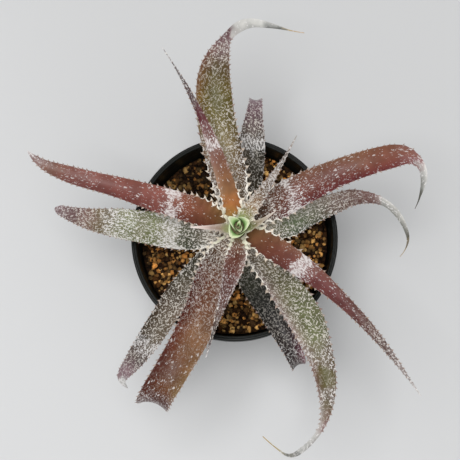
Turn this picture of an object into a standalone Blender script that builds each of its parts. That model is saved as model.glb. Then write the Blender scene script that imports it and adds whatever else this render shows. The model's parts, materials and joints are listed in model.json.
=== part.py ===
"""A potted orthophytum: a round plastic nursery pot, its granular soil, the roots and the short
stem of the plant, sixteen arching channelled leaves in a spiral and the young leaves of the heart.

The frame: +Z is up, the origin is the middle of the pot's underside, and all sizes are in metres.
"""

import math
import random
from collections import namedtuple

import bmesh
import bpy
from mathutils import Matrix, Vector
from mathutils.geometry import delaunay_2d_cdt

MM = 0.001
GAP = 0.3 * MM  # left between pieces that touch

# The pot
POT_HEIGHT = 90 * MM
RIM_RADIUS = 52.5 * MM
RIM_DEPTH = 6 * MM
FOOT_RADIUS = 38.5 * MM
WALL = 1.2 * MM
LIP = 1.5 * MM
FLOOR_RISE = 3 * MM
FLOOR_THICKNESS = 2 * MM
CENTRE_DISC = 13 * MM  # the flat disc that the middle of the pot stands on
RECESS_RADIUS = 34 * MM
EDGE = 0.8 * MM  # how far the pot's edges are rounded back
DRAIN_HOLES = 8
DRAIN_RADIUS = 3.2 * MM
DRAIN_CIRCLE = 24 * MM
POT_SIDES = 48

# The soil and what grows down into it
SOIL_DEPTH = 16 * MM  # below the rim
SOIL_MOUND = 2.0 * MM  # how much higher it lies round the stem
SOIL_SLOPE = 4.0 * MM  # how much higher it lies on the right than on the left
GRAIN_PITCH = 3.7 * MM  # between the largest grains on top
GRAIN_RISE = 1.7 * MM  # how far the highest of them stand out of the hollows
GRAIN_STRAY = 0.2  # how far they are out of line, as a share of the pitch
GRAIN_SEED = 11
STEM_RADIUS = 4.2 * MM
STEM_PLACE = Vector((1.8 * MM, 2.0 * MM, 0))  # the plant stands a little off the middle
STEM_FOOT_Z = 58 * MM
STEM_TOP_Z = 111 * MM
ROOTS = 7
ROOT_RADIUS = 1.3 * MM

# The leaves: how a blade is cut up, and where it meets the stem
STATIONS = 24
SMALL_STATIONS = 10
SMALL_LEAF = 30  # a leaf shorter than this is cut into fewer stations
THICKNESS = 2.0 * MM  # of a full-sized blade at its foot
THINNING = 0.75  # the share of it that is gone at the tip
FULL_WIDTH = 14 * MM  # a blade narrower than this is thinner too
LEAF_FOOT_RADIUS = STEM_RADIUS + GAP
FOOT_PITCH = 2.0 * MM
LOWEST_FOOT_Z = 81 * MM

# The heart: cupped young leaves, one inside the other round the growing tip
HEART_LEAVES = 5
HEART_RADIUS = 4.2 * MM
HEART_STEP = 0.85 * MM  # from one cup to the next one in
HEART_THICKNESS = 0.4 * MM
HEART_Z = STEM_TOP_Z + 1.4 * MM
HEART_LENGTH = 9 * MM
HEART_LEAN = 1.8 * MM  # how far the outermost one's tip leans out
HEART_NARROWING = 0.7  # across the long way of the heart
HEART_TILT = 100  # degrees, the long way

POT_BLACK = (0.018, 0.019, 0.018, 1)
SOIL_BROWN = (0.23, 0.10, 0.035, 1)
ROOT_TAN = (0.45, 0.31, 0.17, 1)
STEM_GREEN = (0.30, 0.32, 0.16, 1)
LEAF_RED = (0.25, 0.06, 0.045, 1)
LEAF_GREEN = (0.22, 0.25, 0.15, 1)
HEART_GREEN = (0.22, 0.45, 0.15, 1)

# A leaf is a direction followed step by step. Its course gives that direction at shares of the
# length: (share, heading, rise), in degrees, with the heading counted from +X towards +Y and the rise
# above the level. Its outline gives where its right and left margins lie beside that course:
# (share, right, left), in millimetres, positive to the left. The length is in millimetres too, and
# channel is how deeply the blade is folded along its midrib.
Leaf = namedtuple("Leaf", "length course outline channel tone")

LEAVES = [  # from the lowest, oldest leaf up the stem to the youngest
    Leaf(97, ((0, -78, 22), (0.3, -62, 20), (0.6, -61, 0), (0.85, -60, -110), (1, -60, -150)),
         ((0, -4.5, 4.5), (0.1, -6, 6), (0.25, -7.6, 6.3), (0.4, -5.9, 5.6), (0.6, -4.6, 5.2),
          (0.72, -4, 4.8), (0.88, -3, 2.5), (1, -0.3, 0.3)), 0.3, "green"),
    Leaf(95, ((0, 68, 24), (0.3, 88, 22), (0.6, 87, 0), (0.85, 87, -110), (1, 87, -150)),
         ((0, -4.5, 4.5), (0.12, -6, 6.5), (0.3, -5.8, 6.3), (0.42, -6.3, 5.9), (0.52, -5.4, 7),
          (0.6, -4.1, 5), (0.7, -3.6, 3.4), (0.88, -2.6, 2.4), (1, -0.3, 0.3)), 0.3, "green"),
    Leaf(108, ((0, -138, 24), (0.25, -125, 20), (0.6, -122, 0), (0.85, -136, -50), (1, -40, -80)),
         ((0, -5, 5), (0.12, -7.5, 5.5), (0.25, -8.2, 4.8), (0.4, -8.9, 4.2), (0.5, -8, 4.5),
          (0.6, -8, 4.4), (0.7, -7.3, 3.3), (0.8, -5.8, 2.3), (0.86, -5, 1.4), (0.9, -3.8, 0.2),
          (0.94, -1, 0.6), (1, -0.2, 0.2)), 0.3, "green"),
    Leaf(109, ((0, 2, 26), (0.15, 20, 24), (0.5, 18, 5), (0.65, -22, -20), (1, -108, -50)),
         ((0, -4, 4), (0.1, -5.5, 5.5), (0.18, -8.3, 6), (0.24, -8.8, 6), (0.35, -6.1, 5.6),
          (0.45, -5, 5.3), (0.52, -4.2, 4.8), (0.6, -2.9, 3), (0.65, -1.2, 2.4), (0.69, 0.3, 2),
          (0.76, 0.9, 2.4), (0.84, 1.8, 3), (0.9, 2.8, 3.7), (0.95, 1.9, 2.3), (1, 0.2, 0.4)),
         0.3, "green"),
    Leaf(95, ((0, 186, 26), (0.3, 173, 18), (0.7, 171, -5), (1, 150, -40)),
         ((0, -5, 5), (0.1, -6.5, 7), (0.2, -7.5, 9), (0.32, -7.8, 9.7), (0.45, -7.5, 9.2),
          (0.6, -6.9, 8.5), (0.7, -5.5, 7.3), (0.8, -4, 5.7), (0.88, -2.9, 4.3), (0.95, -2.1, 3.4),
          (0.985, -1, 2.4), (1, 0.3, 1)), 0.25, "green"),
    Leaf(149, ((0, -62, 30), (0.3, -57, 20), (0.5, -68, 5), (0.7, -100, -15), (0.85, -150, -30),
               (0.9, -215, -30), (1, -225, -30)),
         ((0, -5, 5), (0.1, -4.5, 9), (0.2, -3.2, 12.5), (0.3, -4, 14), (0.4, -3.8, 13.6),
          (0.5, -3, 9.8), (0.56, -2.6, 8.2), (0.63, -1.6, 6.4), (0.7, 0, 4.1), (0.75, -0.2, 2.1),
          (0.8, -1.3, 1.4), (0.85, -1.2, 1.5), (0.88, -0.6, 0.8), (0.92, -0.3, 0.3), (1, -0.2, 0.2)),
         0.25, "green"),
    Leaf(143, ((0, 100, 36), (0.3, 99, 26), (0.5, 93, 8), (0.64, 72, -15), (0.74, 38, -25),
               (0.82, -5, -30), (1, -14, -20)),
         ((0, -5, 5), (0.1, -9.2, 9), (0.2, -9.8, 10.5), (0.3, -8.4, 11.5), (0.4, -6.8, 12),
          (0.5, -6.3, 11.3), (0.57, -5.2, 9.2), (0.63, -3.6, 6.4), (0.67, -1.4, 3.6), (0.7, 0, 3.2),
          (0.76, -0.1, 3.2), (0.84, 1.2, 3.6), (0.9, 2.4, 3.9), (0.94, 3.2, 3.8), (1, 4.7, 5)),
         0.3, "green"),
    Leaf(123, ((0, -116, 36), (0.3, -109, 26), (0.6, -124, 6), (0.72, -122, -15), (0.9, -98, -115),
               (1, -95, -150)),
         ((0, -6, 6), (0.1, -10.2, 8), (0.2, -10.8, 8.5), (0.3, -9.8, 9), (0.4, -8.7, 9.3),
          (0.5, -8, 9.6), (0.6, -6.8, 9.9), (0.7, -6, 10.4), (0.76, -6.2, 10), (0.84, -7.4, 8.4),
          (0.92, -5, 4.5), (1, -0.5, 0.5)), 0.25, "red"),
    Leaf(120, ((0, 32, 38), (0.2, 22, 28), (0.5, 18, 8), (0.72, 13, -10), (0.82, -62, -35),
               (1, -118, -45)),
         ((0, -5, 5), (0.1, -5.5, 7), (0.2, -8.2, 11), (0.3, -6.1, 10.9), (0.4, -4.4, 10.5),
          (0.5, -3.3, 10.3), (0.6, -2.7, 10.1), (0.7, -2.1, 9.9), (0.74, -1.3, 8.6),
          (0.77, 0.2, 6.3), (0.795, 1.7, 3.9), (0.83, 1.3, 3.3), (0.87, 0.2, 2), (0.91, -0.7, 0.1),
          (0.96, -0.9, -0.4), (1, -0.8, -0.5)), 0.3, "red"),
    Leaf(111, ((0, 160, 38), (0.2, 169, 26), (0.6, 165, 6), (0.85, 157, 0), (1, 130, 10)),
         ((0, -5, 5), (0.07, -7.5, 5), (0.12, -9.4, 5.6), (0.18, -9.6, 6.4), (0.3, -9.2, 4.9),
          (0.4, -8.9, 4.2), (0.5, -8.4, 3), (0.6, -7.7, 2.2), (0.7, -6.8, 2.5), (0.78, -5.9, 2.8),
          (0.86, -4.5, 2.2), (0.92, -3.3, 1.5), (0.97, -1.8, 0.3), (1, -0.9, -0.5)), 0.3, "red"),
    Leaf(123, ((0, -34, 40), (0.2, -33, 30), (0.4, -46, 14), (1, -51, -5)),
         ((0, -5, 6), (0.05, -5.6, 8.2), (0.12, -6.3, 8.2), (0.2, -7, 7.2), (0.3, -6.3, 5.7),
          (0.38, -5.2, 5.3), (0.46, -3.1, 5), (0.55, -1.9, 4.7), (0.65, -1.2, 4.3),
          (0.75, -0.9, 3.3), (0.85, -0.9, 1.7), (0.93, -1, 0.2), (1, -1.2, -0.9)), 0.35, "red"),
    Leaf(97, ((0, 106, 46), (0.4, 111, 28), (0.7, 119, 12), (1, 124, 0)),
         ((0, -5, 5), (0.08, -6, 5.6), (0.15, -5.6, 4.5), (0.25, -4.7, 4.3), (0.35, -4.1, 3.8),
          (0.45, -3.4, 3.3), (0.52, -2.9, 2.6), (0.6, -2.4, 1.7), (0.7, -2, 0.9), (0.8, -1.8, 0),
          (0.9, -1.3, -0.5), (1, -1.1, -0.8)), 0.4, "red"),
    Leaf(74, ((0, -100, 48), (0.45, -103, 30), (1, -106, 14)),
         ((0, -3.6, 4.5), (0.11, -3.8, 7.4), (0.23, -4, 7.6), (0.34, -3.6, 6.8), (0.45, -2.6, 5.2),
          (0.57, -1.9, 3.6), (0.68, -1.4, 2.1), (0.8, -1, 0.9), (0.91, -0.5, 0.5), (1, -0.1, 0.2)),
         0.5, "red"),
    Leaf(61, ((0, 50, 56), (0.43, 52, 48), (1, 60, 39)),
         ((0, -4, 5), (0.11, -4.6, 6.2), (0.22, -3.9, 5), (0.38, -2.9, 3.4), (0.54, -2, 2.3),
          (0.65, -1.4, 1.6), (0.76, -1, 1.1), (0.87, -0.5, 0.6), (1, -0.15, 0.15)), 0.5, "green"),
    Leaf(24, ((0, 188, 58), (0.4, 184, 40), (1, 180, 15)),
         ((0, -3.6, 3.6), (0.12, -3, 3), (0.3, -2.1, 2), (0.6, -1.1, 1.2), (1, -0.1, 0.4)), 0.5, "red"),
    Leaf(22, ((0, 0, 62), (0.4, 20, 48), (1, 38, 30)),
         ((0, -3.8, 3.4), (0.12, -3.2, 2.6), (0.3, -1.9, 1.7), (0.6, -0.9, 1), (1, -0.1, 0.2)), 0.5, "red"),
]


def material(name, colour, roughness):
    made = bpy.data.materials.get(name) or bpy.data.materials.new(name)
    made.use_nodes = True
    shader = made.node_tree.nodes["Principled BSDF"]
    shader.inputs["Base Color"].default_value = colour
    shader.inputs["Roughness"].default_value = roughness
    shader.inputs["Metallic"].default_value = 0
    return made


def solid(name, bm, look):
    """A named object from a bmesh, with its faces pointing out."""
    bmesh.ops.recalc_face_normals(bm, faces=bm.faces)
    mesh = bpy.data.meshes.new(name)
    bm.to_mesh(mesh)
    bm.free()
    mesh.shade_smooth()
    mesh.set_sharp_from_angle(angle=math.radians(40))
    mesh.materials.append(look)
    made = bpy.data.objects.new(name, mesh)
    bpy.context.scene.collection.objects.link(made)
    return made


def cut(target, *cutters):
    """Takes the cutters out of the target. They stay in the file as hidden guides."""
    for cutter in cutters:
        boolean = target.modifiers.new("cut", "BOOLEAN")
        boolean.operation = "DIFFERENCE"
        boolean.solver = "EXACT"
        boolean.object = cutter
        cutter.hide_render = True
        cutter.display_type = "WIRE"


def turned(profile, sides):
    """A bmesh turned about Z from (radius, height) points that start and end on the axis."""
    bm = bmesh.new()
    points = [bm.verts.new((radius, 0, height)) for radius, height in profile]
    edges = [bm.edges.new(pair) for pair in zip(points, points[1:])]
    bmesh.ops.spin(
        bm, geom=points + edges, cent=(0, 0, 0), axis=(0, 0, 1),
        angle=math.tau, steps=sides, use_merge=True,
    )
    bmesh.ops.remove_doubles(bm, verts=bm.verts, dist=0.01 * MM)
    return bm


def wall_radius(height):
    """The outer radius of the pot's tapered wall at a height."""
    top = POT_HEIGHT - RIM_DEPTH
    return FOOT_RADIUS + (RIM_RADIUS - LIP - FOOT_RADIUS) * height / top


def make_pot(look):
    inner = RIM_RADIUS - LIP - WALL
    under_rim = POT_HEIGHT - RIM_DEPTH
    floor_top = FLOOR_RISE + FLOOR_THICKNESS
    profile = [
        (0, 0),
        (CENTRE_DISC, 0),
        (CENTRE_DISC + FLOOR_RISE / 2, FLOOR_RISE),
        (RECESS_RADIUS - FLOOR_RISE / 2, FLOOR_RISE),
        (RECESS_RADIUS, 0),
        (FOOT_RADIUS - EDGE, 0),
        (FOOT_RADIUS, EDGE),
        (wall_radius(under_rim), under_rim),
        (RIM_RADIUS - EDGE / 2, under_rim),
        (RIM_RADIUS, under_rim + EDGE),
        (RIM_RADIUS, POT_HEIGHT - EDGE),
        (RIM_RADIUS - EDGE, POT_HEIGHT),
        (inner + EDGE, POT_HEIGHT),
        (inner, POT_HEIGHT - EDGE),
        (inner, under_rim),
        (wall_radius(floor_top) - WALL, floor_top),
        (0, floor_top),
    ]
    pot = solid("pot", turned(profile, POT_SIDES), look)
    drill = bmesh.new()
    for hole in range(DRAIN_HOLES):
        turn = Matrix.Rotation(math.tau * hole / DRAIN_HOLES, 4, "Z")
        bmesh.ops.create_cone(
            drill, cap_ends=True, segments=16, radius1=DRAIN_RADIUS, radius2=DRAIN_RADIUS,
            depth=20 * MM, matrix=turn @ Matrix.Translation((DRAIN_CIRCLE, 0, 0)),
        )
    cut(pot, solid("drain_drill", drill, look))
    return pot


def root_path(index, steps=7):
    """The points of one root, from under the stem's foot out and down through the soil."""
    heading = math.tau * (index + 0.25 * math.sin(3 * index)) / ROOTS
    reach = (22 + 4 * math.sin(2.1 * index)) * MM
    drop = (30 + 6 * math.cos(1.7 * index)) * MM
    points = []
    for step in range(steps):
        share = step / (steps - 1)
        turn = heading + 0.5 * math.sin(share * 4 + index)
        out = reach * share**0.8
        down = STEM_FOOT_Z - 3.5 * MM - drop * share**1.3
        points.append(STEM_PLACE + Vector((out * math.cos(turn), out * math.sin(turn), down)))
    return points


def tube(bm, path, radius_at, sides):
    """A closed tapering tube along the path."""
    rings = []
    for index, point in enumerate(path):
        ahead = path[min(index + 1, len(path) - 1)] - path[max(index - 1, 0)]
        frame = ahead.to_track_quat("Z", "Y").to_matrix()
        radius = radius_at(index / (len(path) - 1))
        ring = []
        for side in range(sides):
            angle = math.tau * side / sides
            spoke = Vector((math.cos(angle), math.sin(angle), 0)) * radius
            ring.append(bm.verts.new(point + frame @ spoke))
        rings.append(ring)
    for one, two in zip(rings, rings[1:]):
        for side in range(sides):
            after = (side + 1) % sides
            bm.faces.new((one[side], one[after], two[after], two[side]))
    bm.faces.new(rings[0])
    bm.faces.new(rings[-1])
    bmesh.ops.recalc_face_normals(bm, faces=bm.faces)


def make_roots(name, look, extra=0.0):
    """The root crown with its main roots joined to it. extra thickens it, as a cutter."""
    crown_top = STEM_FOOT_Z - GAP + extra
    crown = turned(
        [
            (0, STEM_FOOT_Z - 9 * MM - extra),
            (2.2 * MM + extra, STEM_FOOT_Z - 8 * MM - extra),
            (STEM_RADIUS + extra, STEM_FOOT_Z - 4 * MM),
            (STEM_RADIUS - 0.4 * MM + extra, crown_top),
            (0, crown_top),
        ],
        12,
    )
    bmesh.ops.translate(crown, verts=crown.verts, vec=STEM_PLACE)
    roots = solid(name, crown, look)
    for index in range(ROOTS):
        bm = bmesh.new()
        path = root_path(index)
        path[-1] += (path[-1] - path[-2]).normalized() * extra
        tube(bm, path, lambda share: ROOT_RADIUS * (1 - 0.7 * share) + extra, 6)
        branch = solid(f"{name}_branch_{index}", bm, look)
        branch.hide_render = True
        branch.display_type = "WIRE"
        join = roots.modifiers.new("join", "BOOLEAN")
        join.operation = "UNION"
        join.solver = "EXACT"
        join.object = branch
    return roots


def make_stem(name, look, extra=0.0):
    """The short stem with the faint rings that fallen leaves leave. extra makes it a cutter."""
    profile = [(0, STEM_FOOT_Z - extra)]
    rings = 12
    for ring in range(rings + 1):
        share = ring / rings
        height = STEM_FOOT_Z + (STEM_TOP_Z - 2 * MM - STEM_FOOT_Z) * share
        scar = 0.25 * MM if ring % 2 else 0
        taper = 1 - 0.35 * max(0, share - 0.5)
        profile.append((STEM_RADIUS * taper - scar + extra, height - extra * (ring == 0)))
    profile.append((STEM_RADIUS * 0.45 + extra, STEM_TOP_Z + extra))
    profile.append((0, STEM_TOP_Z + 0.5 * MM + extra))
    bm = turned(profile, 16)
    bmesh.ops.translate(bm, verts=bm.verts, vec=STEM_PLACE)
    return solid(name, bm, look)


def soil_height(x, y, edge):
    """How high the soil lies between its grains."""
    out = math.hypot(x, y) / edge
    tilt = (0.5 + 0.5 * x / edge) ** 2
    return POT_HEIGHT - SOIL_DEPTH + SOIL_MOUND * (1 - out**2) + SOIL_SLOPE * tilt


def grain_places(edge):
    """The largest grains, in rows set off like a honeycomb and a little out of line: (x, y, rise)."""
    chance = random.Random(GRAIN_SEED)
    count = math.ceil(edge / GRAIN_PITCH / 0.866)
    places = []
    for row in range(-count, count + 1):
        for column in range(-count, count + 1):
            x = (column + 0.5 * (row % 2) + chance.uniform(-GRAIN_STRAY, GRAIN_STRAY)) * GRAIN_PITCH
            y = (row * 0.866 + chance.uniform(-GRAIN_STRAY, GRAIN_STRAY)) * GRAIN_PITCH
            rise = chance.uniform(0.5, 1) * GRAIN_RISE
            if math.hypot(x, y) < edge - 0.45 * GRAIN_PITCH:
                places.append((x, y, rise))
    return places


def hollow_places(edge):
    """The low points where three grains meet."""
    count = math.ceil(edge / GRAIN_PITCH / 0.866)
    places = []
    for row in range(-count, count + 1):
        for column in range(-count, count + 1):
            for up in (1 / 3, 2 / 3):
                x = (column + 0.5 * (row % 2) + 0.5 * (up < 0.5)) * GRAIN_PITCH
                y = (row + up) * 0.866 * GRAIN_PITCH
                if math.hypot(x, y) < edge - 0.25 * GRAIN_PITCH:
                    places.append((x, y, 0))
    return places


def make_soil(look):
    """The soil fills the pot to below its rim, lies higher on one side and is lumpy on top."""
    top = POT_HEIGHT - SOIL_DEPTH
    floor = FLOOR_RISE + FLOOR_THICKNESS + GAP
    side_gap = WALL + 0.5 * MM
    edge = wall_radius(top) - side_gap
    corners = []
    for side in range(POT_SIDES):
        angle = math.tau * side / POT_SIDES
        corners.append((edge * math.cos(angle), edge * math.sin(angle), 0))
    places = corners + grain_places(edge) + hollow_places(edge)
    outline = [(side, (side + 1) % POT_SIDES) for side in range(POT_SIDES)]
    spots, seams, faces, *origins = delaunay_2d_cdt(
        [Vector(place[:2]) for place in places], outline, [], 1, 0.0001 * MM)
    bm = bmesh.new()
    verts = []
    for spot, origin in zip(spots, origins[0]):
        height = soil_height(spot.x, spot.y, edge) + places[origin[0]][2]
        verts.append(bm.verts.new((spot.x, spot.y, height)))
    for face in faces:
        bm.faces.new([verts[corner] for corner in face])
    rim = [seam for seam in bm.edges if seam.is_boundary]
    skirt = bmesh.ops.extrude_edge_only(bm, edges=rim)["geom"]
    narrow = (wall_radius(floor) - side_gap) / edge
    for vert in skirt:
        if isinstance(vert, bmesh.types.BMVert):
            vert.co = Vector((vert.co.x * narrow, vert.co.y * narrow, floor))
    bmesh.ops.holes_fill(bm, edges=[seam for seam in bm.edges if seam.is_boundary], sides=0)
    bmesh.ops.recalc_face_normals(bm, faces=bm.faces)
    soil = solid("soil", bm, look)
    socket = make_stem("stem_socket", look, extra=GAP)
    channels = make_roots("root_channels", look, extra=GAP)
    cut(soil, socket, channels)
    return soil


def course_at(course, share):
    """The heading and the rise of a leaf at a share of its length, in radians."""
    for (before, turn_0, rise_0), (after, turn_1, rise_1) in zip(course, course[1:]):
        if share <= after:
            part = (share - before) / (after - before)
            turn = turn_0 + (turn_1 - turn_0) * part
            rise = rise_0 + (rise_1 - rise_0) * part
            return math.radians(turn), math.radians(rise)
    return math.radians(course[-1][1]), math.radians(course[-1][2])


def leaf_frames(leaf, foot_z, stations):
    """The course's point, side and up directions at each station from the foot to the tip."""
    yaw, pitch = course_at(leaf.course, 0)
    foot = Vector((math.cos(yaw) * LEAF_FOOT_RADIUS, math.sin(yaw) * LEAF_FOOT_RADIUS, foot_z))
    point = STEM_PLACE + foot
    step = leaf.length * MM / stations
    frames = []
    for station in range(stations + 1):
        yaw, pitch = course_at(leaf.course, station / stations)
        level = math.cos(pitch)
        along = Vector((math.cos(yaw) * level, math.sin(yaw) * level, math.sin(pitch)))
        side = Vector((-math.sin(yaw), math.cos(yaw), 0))
        frames.append((point.copy(), side, along.cross(side)))
        point = point + along * step
    return frames


def margins_at(outline, share):
    """How far to the left of the course the middle of the blade lies, and its half width."""
    for (before, right_0, left_0), (after, right_1, left_1) in zip(outline, outline[1:]):
        if share <= after:
            part = (share - before) / (after - before)
            right = right_0 + (right_1 - right_0) * part
            left = left_0 + (left_1 - left_0) * part
            return (left + right) / 2 * MM, (left - right) / 2 * MM
    return (outline[-1][1] + outline[-1][2]) / 2 * MM, (outline[-1][2] - outline[-1][1]) / 2 * MM


def lofted(name, rings, look):
    """A closed solid through rings of points."""
    bm = bmesh.new()
    loops = [[bm.verts.new(point) for point in ring] for ring in rings]
    count = len(loops[0])
    for one, two in zip(loops, loops[1:]):
        for place in range(count):
            after = (place + 1) % count
            bm.faces.new((one[place], one[after], two[after], two[place]))
    bm.faces.new(loops[0])
    bm.faces.new(loops[-1])
    return solid(name, bm, look)


def make_leaf(name, leaf, foot_z, look):
    """A closed blade: channelled above, keeled below, with a thin margin on each side."""
    top_places = (-1, -0.5, 0, 0.5, 1)
    under_places = (0.55, 0, -0.55)
    stations = STATIONS if leaf.length > SMALL_LEAF else SMALL_STATIONS
    widest = max(left - right for share, right, left in leaf.outline) * MM
    rings = []
    for station, (point, side, up) in enumerate(leaf_frames(leaf, foot_z, stations)):
        share = station / stations
        middle, half = margins_at(leaf.outline, share)
        thickness = THICKNESS * (1 - THINNING * share) * min(1, widest / FULL_WIDTH)
        ring = []
        for place in top_places:
            height = leaf.channel * half * place**2
            ring.append(point + side * (middle + half * place) + up * height)
        for place in under_places:
            height = leaf.channel * half * place**2 - thickness * (1 - place**2)
            ring.append(point + side * (middle + half * place) + up * height)
        rings.append(ring)
    return lofted(name, rings, look)


def oval(spoke):
    """The same spoke in the heart's oval, which is narrow across its long way."""
    long_way = Vector((math.cos(math.radians(HEART_TILT)), math.sin(math.radians(HEART_TILT)), 0))
    across = spoke - long_way * spoke.dot(long_way)
    return spoke - across * (1 - HEART_NARROWING)


def make_heart(look):
    """The youngest leaves: cups that wrap round the growing tip, each inside the one before."""
    for index in range(HEART_LEAVES):
        heading = math.radians(235 + 137.5 * index)
        radius = HEART_RADIUS - HEART_STEP * index
        length = HEART_LENGTH * (1 - 0.08 * index)
        lean = HEART_LEAN * (1 - 0.2 * index)
        rings = []
        for station in range(SMALL_STATIONS + 1):
            share = station / SMALL_STATIONS
            reach = radius + 0.5 * MM * share**2
            wrap = math.radians(110) * (1 - 0.93 * share**2)
            ring = []
            for step in range(14):
                inner = step > 6
                place = (10 - step) / 3 * 0.85 if inner else (step - 3) / 3
                turn = heading + wrap * place
                out = reach - inner * HEART_THICKNESS
                spoke = Vector((out * math.cos(turn), out * math.sin(turn), 0))
                spoke += Vector((math.cos(heading), math.sin(heading), 0)) * lean * share**3
                ring.append(STEM_PLACE + oval(spoke) + Vector((0, 0, HEART_Z + length * share)))
            rings.append(ring)
        lofted(f"heart_leaf_{index + 1}", rings, look)


def main():
    for thing in list(bpy.data.objects):
        bpy.data.objects.remove(thing)
    tones = {
        "red": material("red_leaf", LEAF_RED, 0.4),
        "green": material("green_leaf", LEAF_GREEN, 0.6),
    }
    make_pot(material("pot_plastic", POT_BLACK, 0.35))
    make_soil(material("soil", SOIL_BROWN, 0.95))
    make_roots("roots", material("root", ROOT_TAN, 0.8))
    make_stem("stem", material("stem", STEM_GREEN, 0.6))
    for index, leaf in enumerate(LEAVES):
        foot_z = LOWEST_FOOT_Z + FOOT_PITCH * index
        make_leaf(f"leaf_{index + 1:02d}", leaf, foot_z, tones[leaf.tone])
    make_heart(material("heart_leaf", HEART_GREEN, 0.5))


main()
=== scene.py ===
"""A potted orthophytum: toothed, scurfy leaves in a spiral, granular soil and a black nursery pot."""

import json
import math
import random
from collections import namedtuple

import bmesh
import bpy
from mathutils import Matrix, Vector, noise
from mathutils.bvhtree import BVHTree


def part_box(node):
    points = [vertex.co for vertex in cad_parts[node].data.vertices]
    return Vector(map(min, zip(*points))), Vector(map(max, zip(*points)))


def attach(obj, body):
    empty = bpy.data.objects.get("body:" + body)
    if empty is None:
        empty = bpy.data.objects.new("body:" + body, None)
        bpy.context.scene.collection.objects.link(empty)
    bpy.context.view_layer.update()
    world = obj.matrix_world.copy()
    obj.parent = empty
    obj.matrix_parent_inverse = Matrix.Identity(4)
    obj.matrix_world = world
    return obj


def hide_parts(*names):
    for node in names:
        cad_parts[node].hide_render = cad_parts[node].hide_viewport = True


bl_info = {
    "name": "Potted Orthophytum",
    "version": (1, 0, 0),
    "blender": (4, 5, 0),
    "location": "3D View > Sidebar > Orthophytum",
    "description": "Builds the pot, soil and scurfy toothed leaves of a potted orthophytum",
    "category": "Add Mesh",
}

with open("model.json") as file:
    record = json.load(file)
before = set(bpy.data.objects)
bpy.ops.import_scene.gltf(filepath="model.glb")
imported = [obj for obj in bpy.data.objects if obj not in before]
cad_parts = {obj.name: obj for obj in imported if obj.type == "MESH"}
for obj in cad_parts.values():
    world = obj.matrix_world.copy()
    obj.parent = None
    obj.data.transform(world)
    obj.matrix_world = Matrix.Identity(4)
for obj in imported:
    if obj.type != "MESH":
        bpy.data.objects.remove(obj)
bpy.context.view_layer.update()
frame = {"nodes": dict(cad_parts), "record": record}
MM = 0.001
POT_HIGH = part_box("pot")[1]
SOIL_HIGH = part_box("soil")[1]
STEM_LOW, STEM_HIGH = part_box("stem")
STEM_PLACE = Vector(((STEM_LOW.x + STEM_HIGH.x) / 2, (STEM_LOW.y + STEM_HIGH.y) / 2, 0))
STEM_RADIUS = (STEM_HIGH.x - STEM_LOW.x) / 2


# ---------------------------------------------------------------- leaf routes and colours

# A leaf follows its course from the stem: (share of the length, heading, rise), in degrees. Its
# outline gives where the right and left margins lie beside that course: (share, right, left), in
# millimetres, positive to the left. channel is how deeply the blade is folded, pitch and arch how far
# apart the teeth near the foot are and how deeply the margin is scalloped between them, in
# millimetres, tooth and edging how strong the teeth and the pale edging are, and tail the share of
# the length that is a narrow curled tail.
Leaf = namedtuple("Leaf", "length course outline channel pitch arch tooth edging tail")

# How a leaf is coloured at a share of its length: the skin at the right-hand margin, the midrib and
# the left-hand margin seen from the foot, as screen values from 0 to 255, then how much of it loose
# flecks, a fine maze of scales and a solid frost of scales cover. A row of SKINS with one skin only
# has it from margin to margin.
Band = namedtuple("Band", "share right mid left flecks maze frost")

FOOT_RADIUS = STEM_RADIUS + 0.3 * MM
LOWEST_FOOT_Z = 81 * MM
FOOT_PITCH = 2.0 * MM  # from one leaf's foot up to the next one's
THINNING = 0.75  # the share of a blade's thickness that is gone at its tip
FULL_WIDTH = 14 * MM  # a blade narrower than this is thinner too
EDGE_DEPTH = 0.06 * MM  # the thickness left at a margin
OUTER_TOOTH_PITCH = 2.7  # mm between the teeth far out on a leaf
TEETH_END = 0.05  # the share of the length at the tip that has no teeth, at the least
HEART_LEANS = (3.2, 2.6, 3.6, 1.4, 0.9)  # how far each heart leaf leans outwards, in mm
HEART_RADIUS = 4.7  # of the outermost heart leaf, in mm
HEART_STEP = 0.95  # from one heart leaf in to the next, in mm
HEART_LENGTH = 9 * MM
HEART_TURN = 235, 137.5  # degrees, where the first one faces and how far on the next one does
HEART_WRAP = math.radians(110)  # how far a heart leaf reaches round to each side
HEART_TILT = math.radians(100)  # the long way of the heart
HEART_NARROWING = 0.82  # across the long way
GOLD_GREEN = (0.70, 0.73, 0.44, 1)  # the crust where a leaf is freshest
SKIN_DEPTH = 0.86  # how much of the light a skin between scales gives back
UNDER_SKIN = (150, 148, 138)
UNDER_COVER = (0.0, 0.2, 0.9)  # flecks, maze and frost on the underside
MAP_ASIDE = 37  # mm on the blade map between one leaf and the next
MAP_UNDER = 200  # mm between the top and the underside of a leaf
GRAIN_PITCH = 3.7 * MM  # between the largest grains
GRAIN_SEED = 11
GRAIN_SUNK = -0.88  # how deep the largest grains lie, as a share of their size
GRAIN_CUTS, CUT_REACH = 5, 0.79  # the flat faces broken off a grain, and how far out they lie
CRUMBS = 2  # in each hollow between the largest grains
CRUMB_PAINTED_SHADE = 0.7  # how pale the crumbs are against the largest grains: painted shade in the hollows they fill
ROW_PITCH = 0.866  # between the rows of a honeycomb, as a share of the pitch in a row
RIM_SHADOW_SIDE = math.radians(140)  # where the pot's rim casts a painted shadow on the soil
POT_FOOT = 38.5  # the radius at the pot's foot, in mm
POT_RIM_DEPTH = 6 * MM
POT_LIP = 1.5 * MM
DRAIN_HOLES = 8
DRAIN_RADIUS = 3.2 * MM
DRAIN_CIRCLE = 24 * MM
FLOOR_REACH = 4.0
FLOOR_DROP = 0.2 * MM  # the floor lies just clear of the pot's foot
KEY_PLACE, KEY_SIZE = Vector((-0.16, -0.06, 1.3)), 0.6  # from the middle of the pot's rim
FILL_PLACE, FILL_SIZE = Vector((0.7, -0.7, 0.9)), 0.9
FILL_SHARE = 0.1  # of the key's power
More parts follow.
